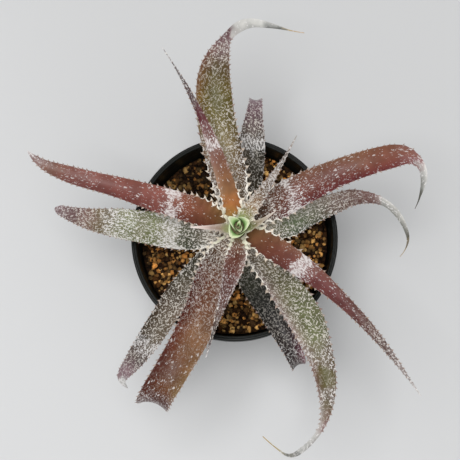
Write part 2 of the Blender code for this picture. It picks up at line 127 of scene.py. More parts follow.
AIM_UP, AIM_LEFT = 3.9, 2.3  # how far from the rim's middle the camera looks, in mm

LEAVES = [  # from the lowest, oldest leaf up the stem to the youngest
    Leaf(97, ((0, -78, 22), (0.3, -62, 20), (0.6, -61, 0), (0.85, -60, -110), (1, -60, -150)),
         ((0, -4.5, 4.5), (0.1, -6, 6), (0.25, -7.6, 6.3), (0.4, -5.9, 5.6), (0.6, -4.6, 5.2),
          (0.72, -4, 4.8), (0.88, -3, 2.5), (1, -0.3, 0.3)), 0.3, 3.6, 0.9, 1.2, 1.05, 0.05),
    Leaf(95, ((0, 68, 24), (0.3, 88, 22), (0.6, 87, 0), (0.85, 87, -110), (1, 87, -150)),
         ((0, -4.5, 4.5), (0.12, -6, 6.5), (0.3, -5.8, 6.3), (0.42, -6.3, 5.9), (0.52, -5.4, 7),
          (0.6, -4.1, 5), (0.7, -3.6, 3.4), (0.88, -2.6, 2.4), (1, -0.3, 0.3)),
         0.3, 4.0, 1.1, 0.9, 0.9, 0.05),
    Leaf(108, ((0, -138, 24), (0.25, -125, 20), (0.6, -122, 0), (0.85, -136, -50), (1, -40, -80)),
         ((0, -5, 5), (0.12, -7.5, 5.5), (0.25, -8.2, 4.8), (0.4, -8.9, 4.2), (0.5, -8, 4.5),
          (0.6, -8, 4.4), (0.7, -7.3, 3.3), (0.8, -5.8, 2.3), (0.86, -5, 1.4), (0.9, -3.8, 0.2),
          (0.94, -1, 0.6), (1, -0.2, 0.2)), 0.3, 4.0, 1.1, 1.2, 0.9, 0.1),
    Leaf(109, ((0, 2, 26), (0.15, 20, 24), (0.5, 18, 5), (0.65, -22, -20), (1, -108, -50)),
         ((0, -4, 4), (0.1, -5.5, 5.5), (0.18, -8.3, 6), (0.24, -8.8, 6), (0.35, -6.1, 5.6),
          (0.45, -5, 5.3), (0.52, -4.2, 4.8), (0.6, -2.9, 3.2), (0.65, -1.4, 3.2), (0.69, -0.3, 3.2),
          (0.76, 0.1, 3.5), (0.84, 1.3, 3.6), (0.9, 2.5, 3.9), (0.95, 1.9, 2.3), (1, 0.2, 0.4)),
         0.3, 4.2, 1.2, 1.1, 1.1, 0.34),
    Leaf(95, ((0, 186, 26), (0.3, 173, 18), (0.7, 171, -5), (1, 150, -40)),
         ((0, -5, 5), (0.1, -6.5, 7), (0.2, -7.5, 9), (0.32, -7.8, 9.7), (0.45, -7.5, 9.2),
          (0.6, -6.9, 8.5), (0.7, -5.5, 7.3), (0.8, -4, 5.7), (0.88, -2.9, 4.3), (0.95, -2.1, 3.4),
          (0.985, -1, 2.4), (1, 0.3, 1)), 0.25, 3.6, 1.0, 1.2, 1.1, 0.02),
    Leaf(149, ((0, -62, 30), (0.3, -57, 20), (0.5, -68, 5), (0.7, -100, -15), (0.85, -150, -30),
               (0.9, -215, -30), (1, -225, -30)),
         ((0, -5, 5), (0.1, -4.5, 9), (0.2, -3.2, 12.5), (0.3, -4, 14), (0.4, -3.8, 13.6),
          (0.5, -3, 9.8), (0.56, -2.6, 8.2), (0.63, -1.6, 6.4), (0.7, 0, 4.1), (0.75, -0.2, 2.1),
          (0.8, -1.3, 1.4), (0.85, -1.2, 1.5), (0.88, -0.6, 0.8), (0.92, -0.3, 0.3), (1, -0.2, 0.2)),
         0.25, 4.5, 1.4, 1.5, 1.1, 0.26),
    Leaf(143, ((0, 100, 36), (0.3, 99, 26), (0.5, 93, 8), (0.64, 72, -15), (0.74, 38, -25),
               (0.82, -5, -30), (1, -14, -20)),
         ((0, -5, 5), (0.1, -9.2, 9), (0.2, -9.8, 10.5), (0.3, -8.4, 11.5), (0.4, -6.8, 12),
          (0.5, -6.3, 11.3), (0.57, -5.2, 9.2), (0.63, -3.6, 6.4), (0.67, -1.6, 3.8), (0.7, -0.9, 3.4),
          (0.73, -1.6, 4), (0.76, -1.3, 4.5), (0.8, -0.3, 4.6), (0.86, 1.4, 4.6), (0.9, 2.4, 4.3),
          (0.93, 3.1, 3.9), (0.95, 3.4, 3.8), (1, 4.7, 5)),
         0.3, 4.6, 1.6, 1.4, 1.1, 0.31),
    Leaf(123, ((0, -116, 36), (0.3, -109, 26), (0.6, -124, 6), (0.72, -122, -15), (0.9, -98, -115),
               (1, -95, -150)),
         ((0, -6, 6), (0.1, -10.2, 8), (0.2, -10.8, 8.5), (0.3, -9.8, 9), (0.4, -8.7, 9.3),
          (0.5, -8, 9.6), (0.6, -6.8, 9.9), (0.7, -6, 10.4), (0.76, -6.2, 10), (0.84, -7.4, 8.4),
          (0.92, -5, 4.5), (1, -0.5, 0.5)), 0.25, 4.0, 1.2, 1.7, 1.0, 0.02),
    Leaf(120, ((0, 32, 38), (0.2, 22, 28), (0.5, 18, 8), (0.72, 13, -10), (0.82, -62, -35),
               (1, -118, -45)),
         ((0, -5, 5), (0.1, -5.5, 7), (0.2, -8.2, 11), (0.3, -6.1, 10.9), (0.4, -4.4, 10.5),
          (0.5, -3.3, 10.3), (0.6, -2.7, 10.1), (0.7, -2.1, 9.9), (0.74, -1.3, 8.6),
          (0.77, 0, 6.3), (0.795, 1, 4.9), (0.83, 0.4, 4.3), (0.87, -0.4, 2.8), (0.91, -0.9, 0.5),
          (0.96, -0.9, -0.4), (1, -0.8, -0.5)), 0.3, 4.5, 1.7, 1.3, 1.1, 0.205),
    Leaf(111, ((0, 160, 38), (0.2, 169, 26), (0.6, 165, 6), (0.85, 157, 0), (1, 130, 10)),
         ((0, -5, 5), (0.07, -7.5, 5), (0.12, -9.4, 5.6), (0.18, -9.6, 6.4), (0.3, -9.2, 4.9),
          (0.4, -8.9, 4.2), (0.5, -8.4, 3), (0.6, -7.7, 2.2), (0.7, -6.8, 2.5), (0.78, -5.9, 2.8),
          (0.86, -4.5, 2.2), (0.92, -3.3, 1.5), (0.97, -1.8, 0.3), (1, -0.9, -0.5)),
         0.3, 3.6, 1.6, 1.4, 0.9, 0.02),
    Leaf(123, ((0, -34, 40), (0.2, -33, 30), (0.4, -46, 14), (1, -51, -5)),
         ((0, -5, 6), (0.05, -5.6, 8.2), (0.12, -6.3, 8.2), (0.2, -7, 7.2), (0.3, -6.3, 5.7),
          (0.38, -5.2, 5.3), (0.46, -3.1, 5), (0.55, -1.9, 4.7), (0.65, -1.2, 4.3),
          (0.75, -0.9, 3.3), (0.85, -0.9, 1.7), (0.93, -1, 0.2), (1, -1.2, -0.9)),
         0.35, 6.0, 1.5, 1.45, 0.95, 0.03),
    Leaf(97, ((0, 106, 46), (0.4, 111, 28), (0.7, 119, 12), (1, 124, 0)),
         ((0, -5.4, 5.6), (0.08, -6.6, 6.4), (0.15, -5.9, 5.3), (0.25, -4.8, 4.6), (0.35, -4.1, 3.9),
          (0.45, -3.4, 3.3), (0.52, -2.9, 2.6), (0.6, -2.4, 1.7), (0.7, -2, 0.9), (0.8, -1.8, 0),
          (0.9, -1.3, -0.5), (1, -1.1, -0.8)), 0.4, 5.0, 1.2, 1.4, 1.2, 0.03),
    Leaf(74, ((0, -100, 48), (0.45, -103, 30), (1, -106, 14)),
         ((0, -3.6, 4.5), (0.11, -3.8, 7.4), (0.23, -4, 7.6), (0.34, -3.6, 6.8), (0.45, -2.6, 5.2),
          (0.57, -1.9, 3.6), (0.68, -1.4, 2.1), (0.8, -1, 0.9), (0.91, -0.5, 0.5), (1, -0.1, 0.2)),
         0.5, 4.2, 1.3, 1.2, 1.55, 0.1),
    Leaf(61, ((0, 50, 56), (0.43, 52, 48), (1, 60, 39)),
         ((0, -4, 5), (0.11, -4.6, 6.2), (0.22, -3.9, 5), (0.38, -2.9, 3.4), (0.54, -2, 2.3),
          (0.65, -1.4, 1.6), (0.76, -1, 1.1), (0.87, -0.5, 0.6), (1, -0.15, 0.15)),
         0.5, 5.4, 1.5, 1.3, 1.0, 0.1),
    Leaf(24, ((0, 188, 58), (0.4, 184, 40), (1, 180, 15)),
         ((0, -3.6, 3.6), (0.12, -3, 3), (0.3, -2.1, 2), (0.6, -1.1, 1.2), (1, -0.1, 0.4)),
         0.5, 3.0, 0.1, 0.5, 0.95, 0.5),
    Leaf(22, ((0, 0, 62), (0.4, 20, 48), (1, 38, 30)),
         ((0, -3.8, 3.4), (0.12, -3.2, 2.6), (0.3, -1.9, 1.7), (0.6, -0.9, 1), (1, -0.1, 0.2)),
         0.5, 3.0, 0.1, 0.5, 0.95, 0.5),
]

SILVER = (176, 176, 173)

SKINS = [
    (  # the lowest: nearly black, going purple
        (0, (112, 104, 88), 0, 0.6, 0.45),
        (0.12, (104, 98, 84), (110, 106, 92), (84, 82, 68), 0, 0.6, 0.42),
        (0.2, (76, 74, 62), (62, 64, 52), (60, 60, 48), 0, 0.42, 0.15),
        (0.32, (32, 33, 28), 0, 0.22, 0),
        (0.42, (24, 23, 20), 0, 0.3, 0.05),
        (0.55, (32, 26, 24), (31, 24, 23), (40, 30, 29), 0, 0.4, 0.1),
        (0.66, (44, 34, 34), (41, 31, 31), (94, 46, 62), 0, 0.4, 0.35),
        (0.72, (36, 28, 30), (60, 46, 46), (126, 72, 86), 0, 0.4, 0.4),
        (1.0, (44, 36, 36), 0, 0.4, 0.3),
    ),
    (  # behind: dark with one pale band, ending mauve
        (0, (80, 72, 54), 0, 0.5, 0.35),
        (0.18, (56, 48, 34), 0, 0.5, 0.25),
        (0.3, (28, 24, 14), (50, 42, 28), (64, 52, 38), 0, 0.42, 0.12),
        (0.4, (32, 28, 20), (48, 42, 30), (84, 76, 64), 0, 0.4, 0.05),
        (0.435, (40, 36, 30), (62, 56, 48), (96, 88, 78), 0, 0.5, 0.66),
        (0.49, (84, 77, 70), 0, 0.6, 0.65),
        (0.52, (82, 72, 66), 0, 0.7, 0.15),
        (0.62, (96, 74, 80), 0, 0.6, 0.2),
        (0.72, (136, 112, 120), 0, 0.5, 0.3),
        (1.0, (140, 120, 126), 0, 0.5, 0.3),
    ),
    (  # front left, under the broad one
        (0, (84, 70, 56), 0, 0.6, 0.35),
        (0.12, (76, 63, 52), 0, 0.65, 0.3),
        (0.22, (54, 54, 42), (80, 74, 62), (86, 80, 68), 0, 0.75, 0.1),
        (0.35, (68, 62, 50), (88, 80, 68), (92, 80, 70), 0, 0.8, 0.1),
        (0.45, (60, 48, 38), (84, 72, 60), (112, 98, 88), 0, 0.78, 0.1),
        (0.54, (56, 44, 32), (88, 76, 58), (114, 100, 86), 0, 0.6, 0.08),
        (0.62, (60, 52, 42), (94, 84, 70), (108, 96, 84), 0, 0.75, 0.22),
        (0.66, (36, 30, 26), (96, 88, 78), (100, 90, 80), 0, 0.6, 0.66),
        (0.7, (70, 60, 54), (90, 80, 74), (94, 84, 78), 0, 0.6, 0.58),
        (0.73, (92, 82, 78), 0, 0.8, 0.15),
        (0.8, (120, 98, 102), 0, 0.5, 0.2),
        (0.87, (138, 114, 120), 0, 0.4, 0.35),
        (0.92, SILVER, 0, 0.3, 0.75),
        (1.0, SILVER, 0, 0.3, 0.75),
    ),
    (  # right, grey-green with a silver tail
        (0, (112, 102, 82), 0, 0.6, 0.4),
        (0.12, (116, 110, 90), (136, 128, 106), (150, 136, 118), 0, 0.65, 0.45),
        (0.24, (68, 76, 58), (92, 104, 78), (192, 186, 168), 0, 0.75, 0.25),
        (0.36, (80, 80, 64), (96, 94, 76), (182, 172, 156), 0, 0.75, 0.2),
        (0.43, (84, 72, 64), (94, 80, 72), (156, 140, 128), 0.2, 0.75, 0.1),
        (0.55, (98, 72, 66), 0.4, 0.35, 0),
        (0.63, (106, 77, 74), 0.4, 0.2, 0.15),
        (0.68, (140, 142, 138), (172, 172, 168), (214, 214, 210), 0, 0.1, 0.5),
        (0.84, (120, 122, 116), (150, 150, 145), (202, 202, 198), 0, 0.1, 0.4),
        (0.9, (92, 90, 80), 0, 0.1, 0.2),
        (0.94, (150, 136, 112), 0, 0.1, 0.3),
        (1.0, (190, 160, 110), 0, 0, 0.1),
    ),
    (  # left, grey-green with the densest scales
        (0, (84, 62, 42), 0, 0.4, 0.45),
        (0.12, (140, 122, 108), (144, 132, 116), (106, 100, 88), 0, 0.7, 0.74),
        (0.19, (130, 112, 98), (98, 94, 80), (76, 78, 66), 0, 0.8, 0.35),
        (0.26, (106, 96, 82), (80, 83, 66), (66, 71, 57), 0, 0.8, 0.18),
        (0.31, (134, 130, 112), 0, 0.8, 0.78),
        (0.36, (128, 126, 106), 0, 0.8, 0.6),
        (0.43, (112, 117, 82), 0, 0.85, 0.3),
        (0.5, (114, 114, 86), 0, 0.85, 0.3),
        (0.55, (120, 124, 92), 0, 0.85, 0.52),
        (0.61, (124, 124, 96), 0, 0.8, 0.55),
        (0.66, (126, 118, 98), 0, 0.8, 0.62),
        (0.71, (104, 90, 68), 0, 0.5, 0.12),
        (0.78, (114, 91, 83), 0.2, 0.6, 0.1),
        (0.86, (114, 88, 88), 0.2, 0.6, 0.15),
        (1.0, (136, 114, 118), 0, 0.5, 0.4),
    ),
    (  # front right, broad green with mauve margins
        (0, (176, 152, 136), 0, 0.6, 0.6),
        (0.1, (98, 88, 76), (100, 90, 74), (134, 116, 98), 0, 0.75, 0.28),
        (0.2, (138, 119, 116), (84, 80, 58), (102, 98, 80), 0, 0.82, 0.05),
        (0.33, (150, 130, 128), (95, 99, 66), (97, 99, 71), 0, 0.9, 0.05),
        (0.44, (150, 130, 128), (99, 104, 68), (98, 98, 72), 0, 0.85, 0.12),
        (0.5, (146, 128, 122), (108, 98, 80), (90, 76, 64), 0, 0.82, 0.34),
        (0.535, (136, 114, 110), (102, 90, 72), (88, 74, 58), 0, 0.78, 0.3),
        (0.555, (118, 90, 82), (80, 76, 32), (84, 72, 40), 0, 0.22, 0),
        (0.595, (124, 98, 94), (86, 80, 42), (86, 74, 48), 0, 0.45, 0.02),
        (0.625, (150, 138, 134), (104, 92, 80), (104, 90, 80), 0, 0.85, 0.38),
        (0.65, (166, 158, 156), (96, 86, 64), (90, 74, 56), 0, 0.65, 0.1),
        (0.7, (178, 176, 174), (126, 108, 102), (84, 52, 46), 0, 0.4, 0.12),
        (0.73, (188, 188, 186), (164, 156, 154), (108, 76, 72), 0, 0.2, 0.4),
        (0.76, (190, 191, 189), (182, 181, 179), (164, 160, 158), 0, 0.2, 0.4),
        (0.81, (176, 178, 176), (158, 160, 158), (136, 138, 136), 0, 0.5, 0.25),
        (0.85, (140, 142, 140), (104, 106, 104), (96, 98, 96), 0, 0.5, 0.2),
        (0.88, (130, 132, 130), (112, 114, 112), (140, 141, 139), 0, 0.5, 0.2),
        (0.91, (176, 170, 150), 0, 0, 0.3),
        (0.96, (196, 170, 112), 0, 0, 0.1),
        (1.0, (190, 160, 96), 0, 0, 0.1),
    ),
    (  # behind, broad and olive with a long silver tail
        (0, (200, 176, 128), 0, 0.5, 0.4),
        (0.1, (80, 67, 52), (118, 102, 82), (84, 71, 58), 0, 0.6, 0.4),
        (0.2, (72, 52, 34), (168, 146, 122), (90, 68, 52), 0, 0.7, 0.3),
        (0.3, (76, 60, 36), (154, 142, 110), (122, 98, 80), 0, 0.8, 0.25),
        (0.38, (90, 78, 44), (110, 100, 62), (124, 102, 68), 0, 0.62, 0.05),
        (0.46, (88, 76, 34), (78, 72, 14), (126, 94, 48), 0, 0.4, 0),
        (0.55, (96, 76, 50), (80, 68, 32), (104, 68, 46), 0, 0.4, 0),
        (0.62, (116, 94, 87), (110, 91, 85), (116, 84, 83), 0, 0.65, 0.15),
        (0.67, (112, 90, 92), 0, 0.7, 0.25),
        (0.7, (170, 160, 160), (100, 68, 72), (78, 42, 48), 0, 0.3, 0.1),
        (0.72, (204, 202, 198), (186, 182, 180), (150, 140, 140), 0, 0.1, 0.3),
        (0.74, (202, 202, 199), 0, 0.15, 0.28),
        (0.83, (176, 178, 175), (198, 199, 196), (208, 209, 207), 0, 0.15, 0.22),
        (0.86, (112, 114, 112), (158, 160, 158), (200, 201, 199), 0, 0.15, 0.2),
        (0.92, (84, 86, 84), (110, 112, 110), (150, 150, 146), 0, 0.1, 0.1),
        (0.94, (196, 180, 146), 0, 0, 0.2),
        (1.0, (190, 150, 96), 0, 0, 0.1),
    ),
    (  # front, broad red-brown, bent over at its end
        (0, (120, 102, 86), 0.4, 0.4, 0.5),
        (0.12, (72, 48, 34), (104, 80, 66), (106, 74, 62), 0.8, 0.4, 0.4),
        (0.25, (74, 30, 22), (96, 58, 42), (112, 78, 64), 0.5, 0.5, 0.15),
        (0.38, (74, 24, 16), (112, 74, 53), (106, 72, 54), 0.35, 0.4, 0),
        (0.48, (74, 24, 12), (122, 88, 62), (116, 84, 60), 0.22, 0.24, 0),
        (0.56, (74, 22, 8), (110, 72, 44), (120, 88, 60), 0.2, 0.18, 0),
        (0.65, (74, 22, 8), (80, 38, 10), (126, 98, 64), 0.2, 0.16, 0),
        (0.72, (74, 24, 12), (90, 50, 24), (128, 104, 70), 0.32, 0.2, 0.05),
        (0.79, (86, 48, 40), 0.9, 0.2, 0.35),
        (0.84, (88, 50, 48), 0.9, 0.2, 0.55),
        (1.0, (112, 84, 84), 0.5, 0.4, 0.5),
    ),
    (  # right, broad: crimson below and orange-brown above
        (0, (74, 62, 44), 0.5, 0.2, 0.3),
        (0.1, (84, 60, 46), (84, 62, 48), (90, 68, 52), 0.95, 0.1, 0.2),
        (0.19, (90, 42, 40), (97, 58, 47), (106, 75, 57), 0.95, 0.05, 0.2),
        (0.22, (98, 52, 50), (104, 66, 58), (110, 80, 64), 0.95, 0.05, 0.4),
        (0.25, (110, 66, 66), (116, 80, 74), (116, 88, 74), 0.9, 0.1, 0.82),
        (0.275, (104, 56, 58), (112, 72, 66), (118, 86, 72), 0.9, 0.1, 0.6),
        (0.3, (100, 50, 50), (108, 66, 58), (122, 86, 69), 0.7, 0, 0.35),
        (0.33, (98, 44, 46), (104, 60, 50), (124, 87, 68), 0.6, 0, 0.15),
        (0.47, (96, 40, 44), (101, 55, 47), (124, 87, 66), 0.5, 0, 0.08),
        (0.56, (92, 37, 40), (114, 71, 56), (122, 87, 64), 0.22, 0, 0.04),
        (0.64, (100, 42, 44), (120, 71, 56), (116, 73, 54), 0.12, 0, 0),
        (0.72, (110, 54, 54), (122, 75, 64), (122, 81, 64), 0.3, 0, 0.05),
        (0.78, (132, 94, 94), 0.6, 0, 0.35),
        (0.805, (150, 148, 146), (172, 172, 170), (218, 218, 216), 0, 0.1, 0.45),
        (0.9, (122, 124, 120), (140, 142, 138), (198, 198, 195), 0, 0.1, 0.35),
        (0.94, (84, 84, 78), 0, 0, 0.1),
        (1.0, (96, 92, 84), 0, 0, 0.1),
    ),
    (  # left, long and dusky red
        (0, (136, 122, 88), (150, 134, 100), (112, 96, 70), 0, 0.2, 0.25),
        (0.07, (142, 112, 70), (118, 82, 52), (96, 54, 38), 0, 0, 0),
        (0.18, (134, 88, 60), (122, 74, 54), (106, 54, 40), 0.12, 0, 0.03),
        (0.265, (128, 78, 60), (122, 70, 56), (104, 54, 44), 0.55, 0, 0.12),
        (0.31, (148, 112, 104), (142, 104, 98), (128, 92, 90), 0.5, 0.1, 0.92),
        (0.345, (142, 96, 88), (132, 86, 79), (120, 72, 67), 0.5, 0, 0.45),
        (0.38, (136, 84, 74), (128, 74, 66), (114, 62, 56), 0.35, 0, 0.1),
        (0.48, (130, 78, 67), (118, 68, 61), (106, 56, 51), 0.26, 0, 0),
        (0.62, (128, 80, 71), (116, 68, 62), (104, 56, 53), 0.28, 0, 0),
        (0.75, (124, 80, 73), (116, 72, 65), (112, 70, 66), 0.36, 0, 0.05),
        (0.86, (122, 86, 74), 0.45, 0.1, 0.05),
        (0.95, (138, 114, 112), 0.5, 0.3, 0.3),
        (1.0, (184, 176, 176), 0, 0, 0.7),
    ),
    (  # front right, glossy orange at its foot and dark red further out
        (0, (134, 98, 64), 0, 0.1, 0.1),
        (0.07, (106, 64, 48), (122, 82, 58), (144, 110, 76), 0, 0, 0),
        (0.16, (106, 58, 48), (110, 64, 50), (130, 92, 68), 0.08, 0, 0),
        (0.26, (106, 56, 52), (112, 66, 58), (130, 90, 72), 0.35, 0, 0.05),
        (0.3, (116, 80, 76), (132, 98, 95), (122, 88, 78), 0.6, 0.1, 0.92),
        (0.345, (110, 70, 68), (118, 82, 78), (116, 80, 70), 0.6, 0.1, 0.6),
        (0.38, (106, 58, 56), (106, 60, 58), (118, 80, 70), 0.35, 0, 0.05),
        (0.48, (104, 58, 56), (96, 50, 50), (106, 70, 64), 0.25, 0, 0),
        (0.6, (98, 62, 60), (88, 51, 48), (92, 63, 57), 0.3, 0.1, 0),
        (0.7, (92, 68, 62), 0.3, 0.5, 0.15),
        (0.8, (96, 80, 76), 0.2, 0.6, 0.3),
        (0.92, (140, 132, 130), 0, 0.6, 0.5),
        (1.0, (180, 178, 176), 0, 0, 0.7),
    ),
    (  # back left, orange at its foot, thin and grey at its end
        (0, (150, 130, 80), (96, 108, 50), (154, 160, 104), 0.1, 0, 0.1),
        (0.06, (182, 134, 80), (182, 132, 74), (182, 152, 102), 0.15, 0, 0),
        (0.12, (182, 120, 72), 0.08, 0, 0),
        (0.2, (154, 112, 78), (150, 106, 70), (190, 154, 124), 0.03, 0, 0),
        (0.3, (128, 90, 66), (122, 84, 62), (170, 138, 118), 0.12, 0, 0),
        (0.39, (126, 86, 74), (126, 86, 74), (156, 122, 112), 0.3, 0, 0.1),
        (0.45, (136, 106, 100), 0.5, 0.2, 0.78),
        (0.51, (140, 104, 100), (124, 90, 86), (172, 142, 138), 0.5, 0.1, 0.4),
        (0.6, (94, 42, 48), 0.35, 0.1, 0.05),
        (0.72, (80, 60, 60), 0.3, 0.3, 0.2),
        (0.82, (76, 68, 68), 0.1, 0.5, 0.4),
        (1.0, (150, 148, 148), 0, 0.5, 0.5),
    ),
    (  # front, narrow, red-brown between frosty margins
        (0, (176, 166, 128), (166, 146, 112), (176, 168, 132), 0.2, 0.2, 0.4),
        (0.09, (150, 124, 110), (114, 72, 56), (160, 142, 128), 0.6, 0, 0.22),
        (0.23, (132, 98, 90), (106, 60, 49), (152, 128, 122), 0.6, 0, 0.18),
        (0.34, (120, 84, 78), (94, 52, 44), (134, 106, 100), 0.55, 0, 0.22),
        (0.45, (104, 72, 67), (92, 55, 50), (118, 90, 88), 0.8, 0.1, 0.35),
        (0.57, (108, 80, 76), (96, 64, 58), (102, 72, 66), 0.8, 0.1, 0.3),
        (0.7, (96, 74, 66), 0.5, 0.3, 0.15),
        (0.85, (52, 42, 40), 0.2, 0.4, 0.05),
        (0.95, (120, 110, 108), 0, 0.4, 0.4),
        (1.0, (190, 186, 184), 0, 0, 0.8),
    ),
    # The feet of this leaf and of the two youngest below are painted lighter than their own colour, to
    # make up for the shade that falls on them deep in the rosette.
    (  # back right, young: a green foot, then cream with brown between
        (0, (204, 238, 162), 0, 0.1, 0.2),
        (0.1, (170, 164, 116), 0.2, 0.3, 0.5),
        (0.2, (186, 164, 138), (152, 120, 86), (164, 142, 112), 0.5, 0.3, 0.5),
        (0.32, (112, 84, 60), (118, 90, 64), (136, 114, 92), 0.5, 0.4, 0.5),
        (0.5, (80, 61, 46), (96, 76, 58), (124, 106, 90), 0.3, 0.5, 0.5),
        (0.6, (122, 104, 88), 0.1, 0.6, 0.62),
        (0.74, (84, 71, 60), 0.1, 0.6, 0.5),
        (0.92, (140, 130, 122), 0, 0.5, 0.6),
        (1.0, (156, 152, 146), 0, 0.3, 0.5),
    ),
    (  # left, very young
        (0, (206, 226, 166), 0, 0, 0),
        (0.15, (206, 202, 168), (176, 176, 130), (206, 202, 168), 0, 0.2, 0.1),
        (0.32, (206, 192, 180), (164, 140, 124), (222, 210, 200), 0, 0.25, 0.1),
        (0.6, (212, 198, 192), (182, 160, 152), (226, 216, 210), 0, 0.2, 0.1),
        (1.0, (228, 218, 214), 0, 0, 0.1),
    ),
    (  # right, very young
        (0, (182, 204, 136), 0, 0.2, 0.2),
        (0.2, (196, 192, 156), (120, 124, 78), (196, 192, 156), 0, 0.3, 0.2),
        (0.4, (206, 196, 176), (142, 128, 106), (206, 196, 176), 0, 0.2, 0.1),
        (1.0, (214, 204, 198), 0, 0.1, 0.2),
    ),
]

# The heart leaves are painted dark low down and pale out at their rims: painted shade deep in the heart
# and painted light on its rims.
HEART_SKINS = (
    (0, (128, 168, 92), (60, 96, 40), (128, 168, 92), 0, 0, 0),
    (0.45, (208, 232, 176), (130, 174, 100), (208, 232, 176), 0, 0.1, 0.05),
    (0.75, (230, 242, 202), (182, 218, 150), (230, 242, 202), 0, 0.2, 0.1),
    (1.0, (238, 240, 210), 0, 0.2, 0.4),
)


def clamped(value, low=0.0, high=1.0):
    return min(high, max(low, value))


def fading(distance, reach):
    """1 where the distance is 0, falling evenly to 0 at the reach and beyond."""
    return max(0.0, 1 - distance / reach)


def banded(rows):
    """The bands of one leaf from its rows in SKINS."""
    return [Band(row[0], *row[1:2] * 3, *row[2:]) if len(row) == 5 else Band(*row) for row in rows]


def linear(skin):
    """A colour given as 0 to 255 screen values, in linear light."""
    return tuple(((c / 255 + 0.055) / 1.055) ** 2.4 if c > 10 else c / 255 / 12.92 for c in skin)


def course_at(course, share):
    """The heading and the rise of a leaf at a share of its length, in radians."""
    for (before, turn_0, rise_0), (after, turn_1, rise_1) in zip(course, course[1:]):
        if share <= after:
            part = (share - before) / (after - before)
            turn = turn_0 + (turn_1 - turn_0) * part
            rise = rise_0 + (rise_1 - rise_0) * part
            return math.radians(turn), math.radians(rise)
    return math.radians(course[-1][1]), math.radians(course[-1][2])


def leaf_frames(leaf, foot_z, stations):
    """The course's point, along, side and up directions at each station from foot to tip."""
    yaw, pitch = course_at(leaf.course, 0)
    point = STEM_PLACE + Vector((math.cos(yaw) * FOOT_RADIUS, math.sin(yaw) * FOOT_RADIUS, foot_z))
    step = leaf.length * MM / stations
    frames = []
    for station in range(stations + 1):
        yaw, pitch = course_at(leaf.course, station / stations)
        level = math.cos(pitch)
        along = Vector((math.cos(yaw) * level, math.sin(yaw) * level, math.sin(pitch)))
        side = Vector((-math.sin(yaw), math.cos(yaw), 0))
        frames.append((point.copy(), along, side, along.cross(side)))
        point = point + along * step
    return frames


def margin_at(outline, share, column):
    """Where a margin lies beside the course: column 1 is the right one and column 2 the left."""
    share = clamped(share)
    for one, two in zip(outline, outline[1:]):
        if share <= two[0]:
            part = (share - one[0]) / (two[0] - one[0])
            return (one[column] + (two[column] - one[column]) * part) * MM
    return outline[-1][column] * MM


def margins_at(leaf, share):
    """The middle and the half width of the blade, with the outline's corners eased."""
    ease = min(0.02, share, 1 - share)
    right, left = (sum(margin_at(leaf.outline, share + step * ease, column) for step in (-1, 0, 1)) / 3
                   for column in (1, 2))
    return (left + right) / 2, (left - right) / 2


def band_at(bands, share, place):
    """The skin colour and the cover of scales at a place on the blade."""
    for one, two in zip(bands, bands[1:]):
        if share <= two.share:
            break
    part = clamped((share - one.share) / (two.share - one.share))
    reach = abs(place) ** 1.3
    skin = []
    for channel in range(3):
        middle = one.mid[channel] + (two.mid[channel] - one.mid[channel]) * part
        side_1, side_2 = (one.left, two.left) if place > 0 else (one.right, two.right)
        edge = side_1[channel] + (side_2[channel] - side_1[channel]) * part
        skin.append(middle + (edge - middle) * reach)
    cover = [getattr(one, key) + (getattr(two, key) - getattr(one, key)) * part
             for key in ("flecks", "maze", "frost")]
    return tuple(SKIN_DEPTH * c for c in linear(skin)), cover


# ---------------------------------------------------------------- settings

def colour_setting(name, description, default):
    return bpy.props.FloatVectorProperty(
        name=name, description=description, default=default, size=3, min=0, max=1, subtype="COLOR")


def length_setting(name, description, default, low):
    return bpy.props.FloatProperty(
        name=name, description=description, default=default, min=low, unit="LENGTH")


class PlantSettings(bpy.types.PropertyGroup):
    """Sizes and colours of the leaves."""

    station_pitch: length_setting(
        "Station pitch", "Spacing of the cross-sections along a leaf", 0.45 * MM, 0.2 * MM)
    round_count: bpy.props.IntProperty(
        name="Sides", description="Faces round a leaf's cross-section", default=28, min=12)
    thickness: length_setting(
        "Thickness", "Thickness of a full-sized leaf at its midrib", 2.0 * MM, 0.2 * MM)
    tooth_length: length_setting(
        "Tooth length", "Length of the longest hooked teeth", 1.1 * MM, 0.0)
    clasp: length_setting(
        "Clasp", "How far out a leaf's foot wraps round the stem", 9.0 * MM, 0.1 * MM)
    cup_thickness: length_setting(
        "Heart leaf thickness", "Thickness of the young leaves of the heart", 0.4 * MM, 0.1 * MM)
    scale_colour: colour_setting(
        "Scale colour", "Colour of the pale scales on the leaves", (0.76, 0.74, 0.73))
    thin_colour: colour_setting(
        "Thin scale colour", "Colour of the scales where they lie thinly", (0.67, 0.63, 0.57))
    crust_colour: colour_setting(
        "Crust colour", "Colour of the pale crust along the margins", (0.90, 0.86, 0.78))
    tooth_colour: colour_setting(
        "Tooth colour", "Colour of the teeth and the margin they stand on", (0.86, 0.79, 0.66))
    old_tooth_colour: colour_setting(
        "Old tooth colour", "Colour of the teeth far out on the leaves", (0.19, 0.115, 0.10))
    seed: bpy.props.IntProperty(
        name="Seed", description="Varies the teeth and the waving of the margins", default=7)


class SoilSettings(bpy.types.PropertyGroup):
    """Sizes and colours of the soil grains."""

    grain_radius: length_setting(
        "Grain radius", "Radius of the largest grains", 1.85 * MM, 0.2 * MM)
    light_colour: colour_setting(
        "Light grain", "Colour of the palest grains", (0.88, 0.5, 0.16))
    dark_colour: colour_setting(
        "Dark grain", "Colour of the darkest grains", (0.018, 0.008, 0.004))
    seed: bpy.props.IntProperty(name="Seed", description="Varies how the grains lie", default=11)


class PotSettings(bpy.types.PropertyGroup):
    """Size and colour of the pot."""

    sides: bpy.props.IntProperty(
        name="Sides", description="Steps round the pot", default=160, min=24)
    wall: length_setting(
        "Wall", "Thickness of the pot's wall", 1.2 * MM, 0.4 * MM)
    colour: colour_setting(
        "Plastic colour", "Colour of the pot's plastic", (0.005, 0.006, 0.005))


